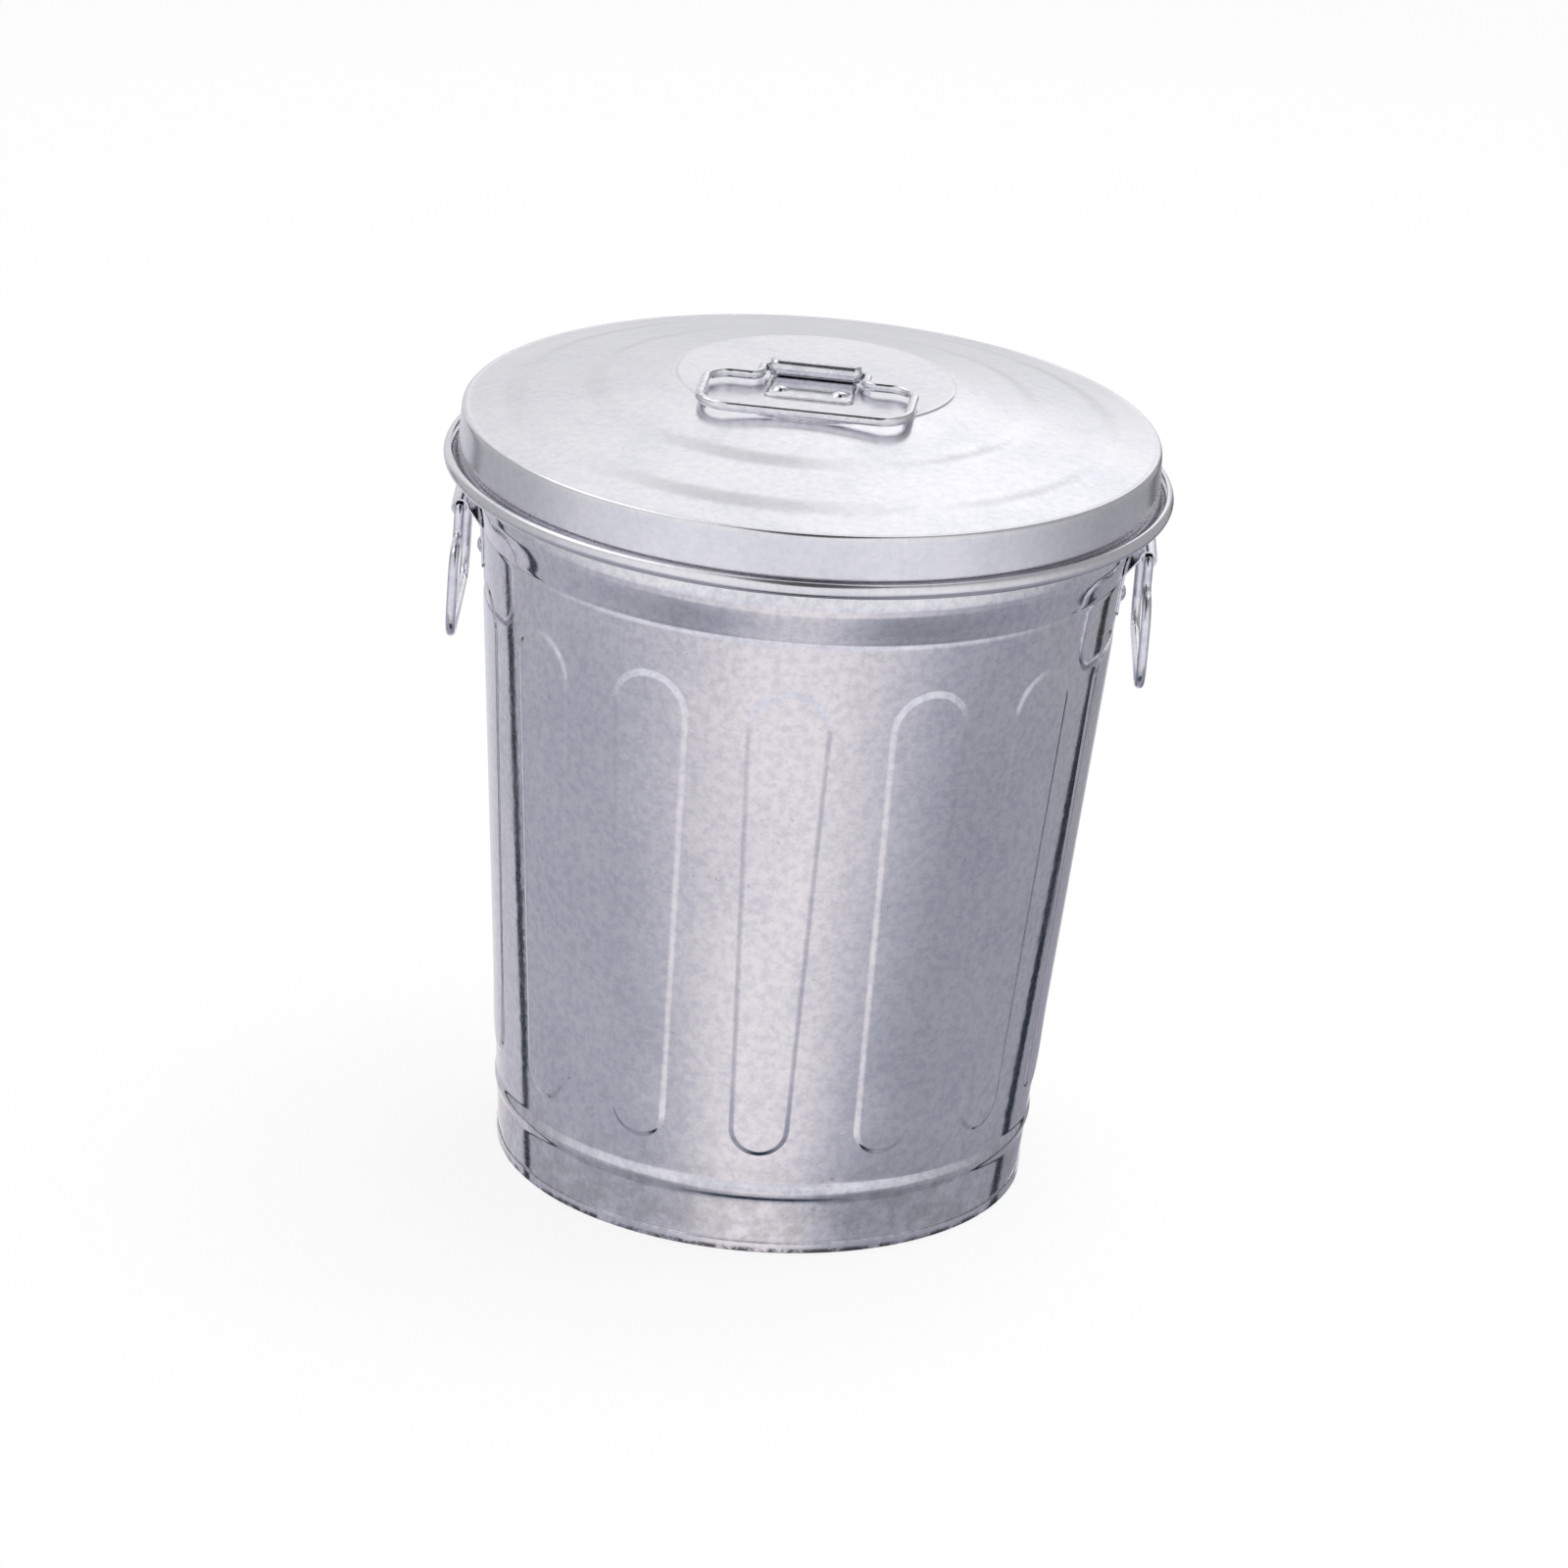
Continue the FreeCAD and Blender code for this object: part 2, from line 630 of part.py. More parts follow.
def lid_bail():
    """The lid's bail, lying forward on the lid."""
    body = bail("lid_bail_wire", "lid_bail_reach")
    fall = f"asin(({CURL_OUTER} - bail_wire_radius - seat_gap) / lid_bail_reach)"
    body.Placement = FreeCAD.Placement(FreeCAD.Vector(0, 1, 1), FreeCAD.Rotation(FreeCAD.Vector(1, 0, 0), 1))
    body.setExpression("Placement.Base.y", sized("lid_hinge_back"))
    body.setExpression("Placement.Base.z", sized(LID_HINGE_HEIGHT))
    body.setExpression("Placement.Rotation.Angle", sized(fall))
    return body


def side_bail(side, angle):
    """A drop handle, hanging straight down from its ear."""
    body = bail(f"{side}_bail", "ear_bail_reach")
    upright = FreeCAD.Rotation(FreeCAD.Vector(1, 1, 1), 120)
    outward = FreeCAD.Rotation(FreeCAD.Vector(0, 0, 1), angle)
    hinge = outward.multVec(FreeCAD.Vector(value(EAR_HINGE_RADIUS), 0, value(EAR_HINGE_HEIGHT)))
    body.Placement = FreeCAD.Placement(hinge, outward * upright)
    return body


# ---------------------------------------------------------------- rivets

def rivet(name, lift, place):
    """One domed rivet through a bracket and the sheet under it, its local z out of the sheet."""
    body = new_body(name)
    under_head = f"(bracket_sheet + {lift})"
    dome = "((rivet_head_radius ^ 2 + rivet_head_height ^ 2) / (2 * rivet_head_height))"
    tail = "((rivet_tail_radius ^ 2 + rivet_tail_height ^ 2) / (2 * rivet_tail_height))"
    under_sheet = f"(-sheet - {lift})"
    revolve(body, f"{name}_turned", [
        ("0", f"{under_head} + rivet_head_height"),
        ("rivet_head_radius", under_head, dome, -1),
        ("rivet_radius", under_head),
        ("rivet_radius", under_sheet),
        ("rivet_tail_radius", under_sheet),
        ("0", f"{under_sheet} - rivet_tail_height", tail, -1),
    ])
    body.Placement = place
    return body


def rivet_hole(name, place):
    """A pin as wide as a rivet's hole, long enough to pass through bracket and sheet."""
    pin = document.addObject("Part::Cylinder", name)
    pin.setExpression("Radius", sized("rivet_radius + rivet_gap"))
    pin.setExpression("Height", sized("4 * rivet_head_radius"))
    down = FreeCAD.Placement(FreeCAD.Vector(0, 0, -value("2 * rivet_head_radius")), FreeCAD.Rotation())
    pin.Placement = place * down
    return pin


def lid_rivet_places():
    """Where the lid bracket's two rivets stand on the panel."""
    back = value("lid_hinge_back - rivet_distance")
    half = value("rivet_spacing / 2")
    return [FreeCAD.Placement(FreeCAD.Vector(x, back, value(LID_TOP)), FreeCAD.Rotation())
            for x in (-half, half)]


def ear_rivet_places(angle):
    """Where an ear's two rivets stand, square to the leaning wall."""
    height = value(EAR_RIVET_HEIGHT)
    radius = value(wall(EAR_RIVET_HEIGHT))
    spread = value(f"asin(rivet_spacing / 2 / {wall(EAR_RIVET_HEIGHT)})")
    square = FreeCAD.Rotation(FreeCAD.Vector(0, 1, 0), 90 + value(WALL_LEAN))
    places = []
    for side in (-spread, spread):
        around = FreeCAD.Rotation(FreeCAD.Vector(0, 0, 1), angle + side)
        places.append(FreeCAD.Placement(around.multVec(FreeCAD.Vector(radius, 0, height)), around * square))
    return places


# ---------------------------------------------------------------- assembly

def build_can():
    """Build every piece of the can, and return them by name."""
    pieces = {}
    ears = {"right": 0, "left": 180}
    ear_holes = []
    for side, angle in ears.items():
        places = ear_rivet_places(angle)
        rivets = [rivet(f"{side}_ear_rivet_{number}", "2 * fold_gap", place)
                  for number, place in enumerate(places, start=1)]
        pieces[f"{side}_ear_rivets"] = group(f"{side}_ear_rivets", rivets)
        holes = group(f"{side}_ear_holes", [rivet_hole(f"{side}_ear_hole_{number}", place)
                                            for number, place in enumerate(places, start=1)])
        ear_holes.append(holes)
        pieces[f"{side}_ear"] = cut(f"{side}_ear", ear_sheet(side, str(angle)), holes)
        pieces[f"{side}_bail"] = side_bail(side, angle)

    outside = fluted_core("wall_outside", "0", "sheet + fold_gap", "mouth_height")
    inside = fluted_core("wall_inside", "sheet", "-sheet", "mouth_height + sheet")
    shell = join("shell_sheet", [cut("wall_sheet", outside, inside), rolled_rim(), lapped_seam()])
    pieces["body_shell"] = cut("body_shell", shell, group("all_ear_holes", ear_holes))
    pieces["rim_wire"] = rim_wire()
    pieces["base_pan"] = base_pan()

    places = lid_rivet_places()
    pieces["lid_bracket_rivets"] = group("lid_bracket_rivets", [
        rivet(f"lid_rivet_{number}", "0", place) for number, place in enumerate(places, start=1)])
    holes = group("lid_holes", [rivet_hole(f"lid_hole_{number}", place)
                                for number, place in enumerate(places, start=1)])
    pieces["lid_pan"] = cut("lid_pan", lid_sheet(), holes)
    pieces["lid_bracket"] = cut("lid_bracket", lid_bracket_sheet(), holes)
    pieces["lid_bail"] = group("lid_bail", [lid_bail()])
    for name in ("lid_pan", "lid_bracket", "lid_bracket_rivets", "lid_bail"):
        turn_about_z(pieces[name], "360 - lid_turn")
    document.recompute()
    return pieces


def check_and_write(pieces):
    """Refuse any failed feature or broken shape, then write each piece to its file."""
    for item in document.Objects:
        if "Invalid" in item.State or "Error" in item.State:
            raise RuntimeError(f"{item.Name} failed: {item.State}")
    os.makedirs("parts", exist_ok=True)
    for label, item in pieces.items():
        item.Label = label
        shape = item.Shape
        if shape.isNull() or not shape.isValid() or not shape.Solids:
            raise RuntimeError(f"{label} has no sound solid")
        shape.exportStep(f"parts/{label}.step")
        box = shape.BoundBox
        print(f"{label:20s} solids {len(shape.Solids)}  volume {shape.Volume:12.1f}  "
              f"x {box.XMin:8.2f} {box.XMax:8.2f}  y {box.YMin:8.2f} {box.YMax:8.2f}  "
              f"z {box.ZMin:8.2f} {box.ZMax:8.2f}")


check_and_write(build_can())
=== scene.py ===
"""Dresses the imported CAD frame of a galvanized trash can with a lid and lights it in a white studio."""

from __future__ import annotations

import logging
import math
from dataclasses import dataclass, field
from enum import Enum
from typing import Any, Mapping, Sequence

import bmesh
import bpy
from mathutils import Matrix, Vector

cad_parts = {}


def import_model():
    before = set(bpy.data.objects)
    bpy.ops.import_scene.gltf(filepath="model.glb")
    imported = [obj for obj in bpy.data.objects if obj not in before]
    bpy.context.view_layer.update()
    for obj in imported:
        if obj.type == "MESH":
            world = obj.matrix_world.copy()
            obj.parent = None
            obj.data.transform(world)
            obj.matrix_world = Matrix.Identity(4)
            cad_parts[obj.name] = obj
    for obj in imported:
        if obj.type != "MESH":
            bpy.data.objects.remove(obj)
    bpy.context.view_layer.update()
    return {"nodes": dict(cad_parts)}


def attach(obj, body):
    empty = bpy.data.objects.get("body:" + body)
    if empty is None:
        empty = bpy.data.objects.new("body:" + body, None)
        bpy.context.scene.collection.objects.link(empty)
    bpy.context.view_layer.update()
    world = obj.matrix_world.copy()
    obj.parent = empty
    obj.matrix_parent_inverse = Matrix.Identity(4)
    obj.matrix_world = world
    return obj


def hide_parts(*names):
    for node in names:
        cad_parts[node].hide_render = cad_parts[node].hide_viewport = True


Colour = tuple[float, float, float]
Ramp = tuple[float, float]
Point = tuple[float, float]
Place = tuple[float, float, float]

MM = 0.001

log = logging.getLogger("trash_can")


class Grain(Enum):
    """Which way the fine rolling marks run in a piece of zinc-coated steel."""

    ROUND_THE_AXIS = (1.0, 1.0, 9.0)
    EVEN = (1.0, 1.0, 1.0)


@dataclass(frozen=True)
class Signal:
    """One shader socket that takes part in plain arithmetic; each operator adds a Math node."""

    bench: "ShaderBench"
    socket: bpy.types.NodeSocket

    def math(self, operation: str, first: Any, second: Any = 0.0) -> "Signal":
        """Adds one Math node.

        Args:
            operation: The Math node's operation.
            first: The first value, a Signal or a number.
            second: The second value, where the operation takes one.

        Returns:
            The node's result.
        """
        return self.bench.node("ShaderNodeMath", {"operation": operation}, {0: first, 1: second})

    def __add__(self, other: Any) -> "Signal":
        """Returns self + other."""
        return self.math("ADD", self, other)

    def __radd__(self, other: Any) -> "Signal":
        """Returns other + self."""
        return self.math("ADD", other, self)

    def __sub__(self, other: Any) -> "Signal":
        """Returns self - other."""
        return self.math("SUBTRACT", self, other)

    def __rsub__(self, other: Any) -> "Signal":
        """Returns other - self."""
        return self.math("SUBTRACT", other, self)

    def __mul__(self, other: Any) -> "Signal":
        """Returns self * other."""
        return self.math("MULTIPLY", self, other)

    def __rmul__(self, other: Any) -> "Signal":
        """Returns other * self."""
        return self.math("MULTIPLY", other, self)

    def __truediv__(self, other: Any) -> "Signal":
        """Returns self / other."""
        return self.math("DIVIDE", self, other)

    def __rtruediv__(self, other: Any) -> "Signal":
        """Returns other / self."""
        return self.math("DIVIDE", other, self)

    def __abs__(self) -> "Signal":
        """Returns the size of self without its sign."""
        return self.math("ABSOLUTE", self)

    def held(self, low: float, high: float) -> "Signal":
        """Returns self, or the limit that it passes."""
        return self.math("MINIMUM", self.math("MAXIMUM", self, low), high)

    def towards(self, other: Any, part: Any) -> "Signal":
        """Returns self moved towards other by a part, which runs from 0 to 1."""
        return self + (other - self) * part

    def between(self, low: float, high: float) -> "Signal":
        """Ramps smoothly from 0 at low to 1 at high.

        Args:
            low: The value that gives 0.
            high: The value that gives 1; it may be the smaller of the two.

        Returns:
            A value from 0 to 1.
        """
        first, last, start, end = (low, high, 0.0, 1.0) if low < high else (high, low, 1.0, 0.0)
        return self.bench.node(
            "ShaderNodeMapRange",
            {"interpolation_type": "SMOOTHSTEP"},
            {"Value": self, "From Min": first, "From Max": last, "To Min": start, "To Max": end},
        )


class ShaderBench:
    """Builds one node tree, of a material or of the world."""

    def __init__(self, tree: bpy.types.NodeTree) -> None:
        """Clears the tree and keeps it.

        Args:
            tree: The node tree to build.
        """
        self.tree = tree
        self.tree.nodes.clear()

    def add(
        self,
        kind: str,
        settings: Mapping[str, Any] | None = None,
        sockets: Mapping[Any, Any] | None = None,
    ) -> bpy.types.Node:
        """Adds any node.

        Args:
            kind: The node's type.
            settings: Its own settings, set before its sockets.
            sockets: Input names or numbers, each with a Signal to link or a value to set.

        Returns:
            The node.
        """
        made = self.tree.nodes.new(kind)
        for name, value in (settings or {}).items():
            setattr(made, name, value)
        for name, value in (sockets or {}).items():
            if isinstance(value, Signal):
                self.tree.links.new(value.socket, made.inputs[name])
            elif value is not None:
                self._set_value(made.inputs[name], value)
        return made

    @staticmethod
    def _set_value(socket: bpy.types.NodeSocket, value: Any) -> None:
        """Sets a socket's own value, with full alpha where it holds a colour.

        Args:
            socket: The socket.
            value: A number, a vector or a colour.
        """
        if socket.type == "RGBA" and len(value) == 3:
            socket.default_value = (*value, 1.0)
        else:
            socket.default_value = value

    def node(
        self,
        kind: str,
        settings: Mapping[str, Any] | None = None,
        sockets: Mapping[Any, Any] | None = None,
        out: str | int = 0,
    ) -> Signal:
        """Adds any node and picks one of its outputs.

        Args:
            kind: The node's type.
            settings: Its own settings.
            sockets: Its inputs, as add takes them.
            out: The output that the caller wants.

        Returns:
            That output.
        """
        return Signal(self, self.add(kind, settings, sockets).outputs[out])

    def vector(self, operation: str, first: Any, second: Any = None, out: str | int = 0) -> Signal:
        """Adds one Vector Math node.

        Args:
            operation: The node's operation.
            first: The first vector.
            second: The second vector, where the operation takes one.
            out: The output that the caller wants.

        Returns:
            That output.
        """
        return self.node("ShaderNodeVectorMath", {"operation": operation}, {0: first, 1: second}, out)

    def place(self) -> Signal:
        """Returns the place on the surface, in the piece's own metres."""
        return self.node("ShaderNodeTexCoord", out="Object")

    def axes(self, vector: Signal) -> tuple[Signal, Signal, Signal]:
        """Returns the three parts of a vector."""
        split = self.add("ShaderNodeSeparateXYZ", None, {0: vector})
        return tuple(Signal(self, split.outputs[axis]) for axis in ("X", "Y", "Z"))

    def seen(self) -> Signal:
        """Tells what the camera or a mirror sees from the light that matt things gather.

        Returns:
            0 for that light, and 1 or more for what is seen.
        """
        path = self.add("ShaderNodeLightPath")
        rays = ("Is Camera Ray", "Is Glossy Ray", "Is Transmission Ray")
        camera, glossy, clear = (Signal(self, path.outputs[name]) for name in rays)
        return camera + glossy + clear

    def noise(self, vector: Signal, cells: float, detail: float = 2.0, roughness: float = 0.5) -> Signal:
        """Adds cloudy noise.

        Args:
            vector: Where on the surface it is read.
            cells: Its cells to the metre.
            detail: How many finer layers it has.
            roughness: How strong the finer layers are.

        Returns:
            A value from 0 to 1.
        """
        sockets = {"Vector": vector, "Scale": cells, "Detail": detail, "Roughness": roughness}
        return self.node("ShaderNodeTexNoise", {"noise_dimensions": "3D"}, sockets, "Fac")

    def blend(self, factor: Any, first: Any, second: Any) -> Signal:
        """Mixes two colours.

        Args:
            factor: 0 for the first and 1 for the second.
            first: The first colour.
            second: The second colour.

        Returns:
            The mixed colour.
        """
        sockets = {0: factor, 6: first, 7: second}
        return self.node("ShaderNodeMix", {"data_type": "RGBA"}, sockets, 2)

    @classmethod
    def material(cls, name: str) -> tuple[bpy.types.Material, "ShaderBench"]:
        """Starts a material.

        Args:
            name: The material's name.

        Returns:
            The material, and the bench for its node tree.
        """
        made = bpy.data.materials.new(name)
        made.use_nodes = True
        return made, cls(made.node_tree)

    def show(self, surface: Signal) -> None:
        """Hands the finished shader to the material's surface."""
        self.add("ShaderNodeOutputMaterial", None, {"Surface": surface})


@dataclass(frozen=True)
class ZincFinish:
    """Hot-dip galvanized steel: bright zinc with crystals, rolling marks, a slight wave and dull patches."""

    name: str
    pale: Colour = (0.90, 0.885, 0.91)
    dull: Colour = (0.655, 0.66, 0.73)
    dirt_and_shade: Colour = (0.30, 0.275, 0.25)
    roughness: float = 0.06
    grain: Grain = Grain.EVEN
    crystal: float = 0.0026
    crystal_shade: float = 0.16
    crystal_gloss: float = 0.02
    tilt: float = 0.0035
    drift: float = 0.9
    drift_cells: float = 0.7
    wave: float = 0.00004
    wave_length: float = 0.055
    mark_cells: float = 240.0
    mark_ramp: Ramp = (0.3, 0.75)
    mark_shade: float = 0.12
    mark_gloss: float = 0.02
    mark_height: float = 0.000002
    mottle: float = 0.52
    mottle_cells: float = 260.0
    mottle_ramp: Ramp = (0.38, 0.66)
    cloud_cells: float = 22.0
    cloud_ramp: Ramp = (0.35, 0.72)
    cloud_shade: float = 0.26
    cloud_gloss: float = 0.03
    cloud_gloss_ramp: Ramp = (0.4, 0.7)
    speck_cells: float = 420.0
    speck_ramp: Ramp = (0.69, 0.75)
    speck_cloud_ramp: Ramp = (0.45, 0.65)
    speck_share: float = 0.7
    # The band near the floor: warm dirt on the wall, near-black painted shade on the base pan.
    grime_and_shade: float = 0.0
    grime_and_shade_height: float = 0.055
    grime_and_shade_fade: float = 0.35
    grime_and_shade_cells: float = 90.0
    grime_and_shade_ramp: Ramp = (0.36, 0.62)

    def make(self) -> bpy.types.Material:
        """Makes the finish.

        Returns:
            Its material.
        """
        material, bench = ShaderBench.material(self.name)
        place = bench.place()
        shade, facet = self._crystals(bench, place)
        marks = bench.noise(bench.vector("MULTIPLY", place, self.grain.value), self.mark_cells, 3.0, 0.6)
        cloud = bench.noise(place, self.cloud_cells, 3.0, 0.55)
        swell = bench.noise(place, 1.0 / self.wave_length, 1.0, 0.4)
        clouded = cloud.between(*self.cloud_gloss_ramp) * self.cloud_gloss
        roughness = self.roughness + shade * self.crystal_gloss + clouded + marks * self.mark_gloss
        height = facet + swell * self.wave + marks * self.mark_height
        bump = {"Strength": 1.0, "Distance": 1.0, "Height": height}
        sockets = {
            "Base Color": self._colour(bench, place, shade, marks, cloud),
            "Metallic": 1.0,
            "Roughness": roughness,
            "Normal": bench.node("ShaderNodeBump", None, bump),
        }
        bench.show(bench.node("ShaderNodeBsdfPrincipled", None, sockets))
        return material

    def _crystals(self, bench: ShaderBench, place: Signal) -> tuple[Signal, Signal]:
        """Lays out the zinc crystals.

        Args:
            bench: The tree that the nodes go into.
            place: The place on the surface.

        Returns:
            A shade from 0 to 1 that is the same all over one crystal, and the height of its tilted face.
        """
        sockets = {"Vector": place, "Scale": self.drift_cells / self.crystal, "Detail": 2.0}
        drift = bench.node("ShaderNodeTexNoise", {"noise_dimensions": "3D"}, sockets, "Color")
        warped = bench.vector("ADD", place, bench.vector("MULTIPLY", drift, (self.crystal * self.drift,) * 3))
        sockets = {"Vector": warped, "Scale": 1.0 / self.crystal}
        cells = bench.add("ShaderNodeTexVoronoi", {"feature": "F1"}, sockets)
        tone, middle = (Signal(bench, cells.outputs[name]) for name in ("Color", "Position"))
        away = bench.vector("SUBTRACT", warped, middle)
        lean = bench.vector("SUBTRACT", tone, (0.5, 0.5, 0.5))
        rise = bench.vector("DOT_PRODUCT", away, lean, "Value")
        return bench.axes(tone)[0], rise * (2.0 * self.tilt)

    def _colour(
        self, bench: ShaderBench, place: Signal, shade: Signal, marks: Signal, cloud: Signal
    ) -> Signal:
        """Mixes bright zinc with dull patches, specks and a dark band near the floor: dirt on the wall,
        painted shade on the base pan.

        Args:
            bench: The tree that the nodes go into.
            place: The place on the surface.
            shade: The crystals' shade.
            marks: The rolling marks.
            cloud: The wide, soft patches.

        Returns:
            The colour.
        """
        mottle = bench.noise(place, self.mottle_cells, 3.0, 0.65).between(*self.mottle_ramp)
        dullness = shade * self.crystal_shade + marks.between(*self.mark_ramp) * self.mark_shade
        dullness = dullness + mottle * self.mottle + cloud.between(*self.cloud_ramp) * self.cloud_shade
        colour = bench.blend(dullness, self.pale, self.dull)
        specks = bench.noise(place, self.speck_cells, 1.0).between(*self.speck_ramp)
        specks = specks * cloud.between(*self.speck_cloud_ramp)
        colour = bench.blend(specks * self.mottle * self.speck_share, colour, self.dirt_and_shade)
        # Dark band near the floor: warm dirt on the wall; on the base pan, near-black painted shade along the
        # edge that meets the floor.
        low = bench.axes(place)[2].between(self.grime_and_shade_height, self.grime_and_shade_height * self.grime_and_shade_fade)
        grime_and_shade_patches = bench.noise(place, self.grime_and_shade_cells, 4.0, 0.7).between(*self.grime_and_shade_ramp)
        return bench.blend(low * grime_and_shade_patches * self.grime_and_shade, colour, self.dirt_and_shade)


@dataclass(frozen=True)
class WhiteFloorFinish:
    """A white floor that keeps the can's soft shadow."""

    name: str = "white_floor"
    own_glow: float = 0.80
    paper: float = 0.26
    fibre_cells: float = 60.0
    fibre_shade: float = 1.03

    def make(self) -> bpy.types.Material:
        """Makes the finish.

        Returns:
            Its material.
        """
        material, bench = ShaderBench.material(self.name)
        fibre = bench.noise(bench.place(), self.fibre_cells, 3.0, 0.6)
        tone = bench.blend(fibre, (self.paper,) * 3, (self.paper * self.fibre_shade,) * 3)
        paper = bench.node("ShaderNodeBsdfDiffuse", None, {"Color": tone})
        sockets = {"Color": (1.0, 1.0, 1.0), "Strength": bench.seen() * self.own_glow}
        glow = bench.node("ShaderNodeEmission", None, sockets)
        bench.show(bench.node("ShaderNodeAddShader", None, {0: paper, 1: glow}))
        return material


@dataclass(frozen=True)
class Seam:
    """A dark upright gap between two sheets of the light tent, in degrees."""

    turn: float
    lean: float
    half: float

    def middle(self, climb: Signal) -> Signal:
        """Returns the turn of the seam's middle, which leans as it climbs."""
        return climb * self.lean + self.turn


@dataclass(frozen=True)
class TentFinish:
    """The light tent as the metal mirrors it.

    Angles are in degrees: round the can from the camera's side, positive to the right, and up from the
    horizon.
    """

    name: str = "tent"
    front: float = 0.87
    left: float = 0.505
    right: float = 0.405
    side_ramp: Ramp = (-70.0, 70.0)
    lobe: float = 66.0
    lobe_climb: float = -31.0
    lobe_growth: float = 3.7
    lobe_limits: Ramp = (50.0, 115.0)
    lobe_ramp: Ramp = (1.0, 0.07)
    shoulder: float = 0.13
    shoulder_inner: Ramp = (8.0, 45.0)
    shoulder_outer: Ramp = (112.0, 66.0)
    shoulder_climb: Ramp = (-26.0, -22.0)
    rear_left: float = 0.62
    rear_left_edge: float = 0.86
    rear_left_ramp: Ramp = (138.0, 178.0)
    rear_right: float = 0.37
    rear_right_edge: float = 0.92
    rear_right_ramp: Ramp = (160.0, 176.0)
    rear_horizon: Ramp = (-12.0, -3.0)
    rear_high: float = 0.79
    rear_climb: float = 0.29
    rear_climb_ramp: Ramp = (0.0, 40.0)
    rear_lean: float = 0.66
    rear_lean_limits: Ramp = (-0.16, 0.22)
    rear_lean_ramp: Ramp = (2.0, 22.0)
    rear_top: float = 0.30
    rear_top_ramp: Ramp = (43.0, 56.0)
    rear_top_side: Ramp = (0.14, -0.10)
    rear_foot: float = 0.12
    rear_foot_ramp: Ramp = (6.0, -6.0)
    seam_left: Seam = Seam(-127.5, -0.9, 2.6)
    seam_right: Seam = Seam(139.5, 1.2, 3.6)
    seam: float = 0.03
    seam_climb: float = -25.0
    seam_limits: Ramp = (-32.0, -12.0)
    seam_edge: Ramp = (1.08, 0.85)
    seam_ramp: Ramp = (8.0, -6.0)
    crown: float = 0.05
    crown_middle: tuple[float, float] = (0.03, -0.12)
    crown_half: tuple[float, float] = (0.21, 0.50)
    crown_edge: Ramp = (1.25, 0.7)
    crown_ramp: Ramp = (0.4, 0.5)
    softbox: float = 1.45
    softbox_way: Place = (-0.46, 0.30, 0.84)
    softbox_half: float = 17.0
    softbox_edge: Ramp = (1.15, 0.8)
    apron: float = 0.78
    apron_ramp: Ramp = (-36.0, -49.0)
    pit: float = 0.05
    pit_side: float = 0.40
    pit_turn: float = 8.0
    pit_side_ramp: Ramp = (20.0, 75.0)
    pit_ramp: Ramp = (-56.0, -63.0)
    cool: Colour = (0.865, 0.88, 1.0)
    warm: Colour = (1.0, 0.965, 0.985)
    warm_ramp: Ramp = (0.45, 0.85)
    deep: Colour = (0.45, 0.72, 1.0)
    deep_ramp: Ramp = (0.0, 0.30)
    crisp: Colour = (0.92, 0.925, 1.0)
    crisp_ramp: Ramp = (-26.0, -21.0)
    fresh: Colour = (0.975, 0.985, 1.0)
    fresh_ramp: Ramp = (-14.0, 0.0)

    def make(self) -> bpy.types.Material:
        """Makes the finish.

        Returns:
            Its material.
        """
        material, bench = ShaderBench.material(self.name)
        way = bench.vector("NORMALIZE", bench.place())
        across, along, up = bench.axes(way)
        turn = across.math("ARCTAN2", across, 0.0 - along) * math.degrees(1.0)
        climb = up.math("ARCSINE", up) * math.degrees(1.0)
        level = self._sheets(self._front(turn, climb), self._rear(across, turn, climb), turn, climb)
        level = self._foot(level, turn, climb)
        level = level.towards(self.crown, self._overhead(across, along, up))
        level = level.towards(self.softbox, self._beside_softbox(bench, way))
        tint = bench.blend(level.between(*self.warm_ramp), self.cool, self.warm)
        tint = bench.blend(level.between(*self.deep_ramp), self.deep, tint)
        tint = bench.blend(climb.between(*self.crisp_ramp), tint, self.crisp)
        tint = bench.blend(climb.between(*self.fresh_ramp), tint, self.fresh)
        bench.show(bench.node("ShaderNodeEmission", None, {"Color": tint, "Strength": level}))
        return material

    def _front(self, turn: Signal, climb: Signal) -> Signal:
        """Works out the tent's front half: a bright middle that widens upwards between two greyer sides.

        Args:
            turn: The way's turn round the can.
            climb: The way's climb from the horizon.

        Returns:
            The level.
        """
        base = turn.between(*self.side_ramp) * (self.right - self.left) + self.left
        reach = ((climb - self.lobe_climb) * self.lobe_growth + self.lobe).held(*self.lobe_limits)
        lobe = (abs(turn) / reach).between(*self.lobe_ramp)
        beside = abs(turn).between(*self.shoulder_inner) * abs(turn).between(*self.shoulder_outer)
        return base.towards(self.front, lobe) + beside * climb.between(*self.shoulder_climb) * self.shoulder

    def _rear(self, across: Signal, turn: Signal, climb: Signal) -> Signal:
        """Works out the tent behind the can, which the lid mirrors above the horizon.

        Args:
            across: How far the way points to the right.
            turn: The way's turn round the can.
            climb: The way's climb from the horizon.

        Returns:
            The level.
        """
        left_gain = self.rear_left_edge - self.rear_left
        right_gain = self.rear_right_edge - self.rear_right
        left = (0.0 - turn).between(*self.rear_left_ramp) * left_gain + self.rear_left
        right = turn.between(*self.rear_right_ramp) * right_gain + self.rear_right
        low = left.towards(right, turn.between(-1.0, 1.0))
        lean = (across * self.rear_lean).held(*self.rear_lean_limits) * climb.between(*self.rear_lean_ramp)
        high = climb.between(*self.rear_climb_ramp) * self.rear_climb + self.rear_high + lean
        high = high - climb.between(*self.rear_top_ramp) * across.between(*self.rear_top_side) * self.rear_top
        high = high - climb.between(*self.rear_foot_ramp) * self.rear_foot
        return low.towards(high, climb.between(*self.rear_horizon))

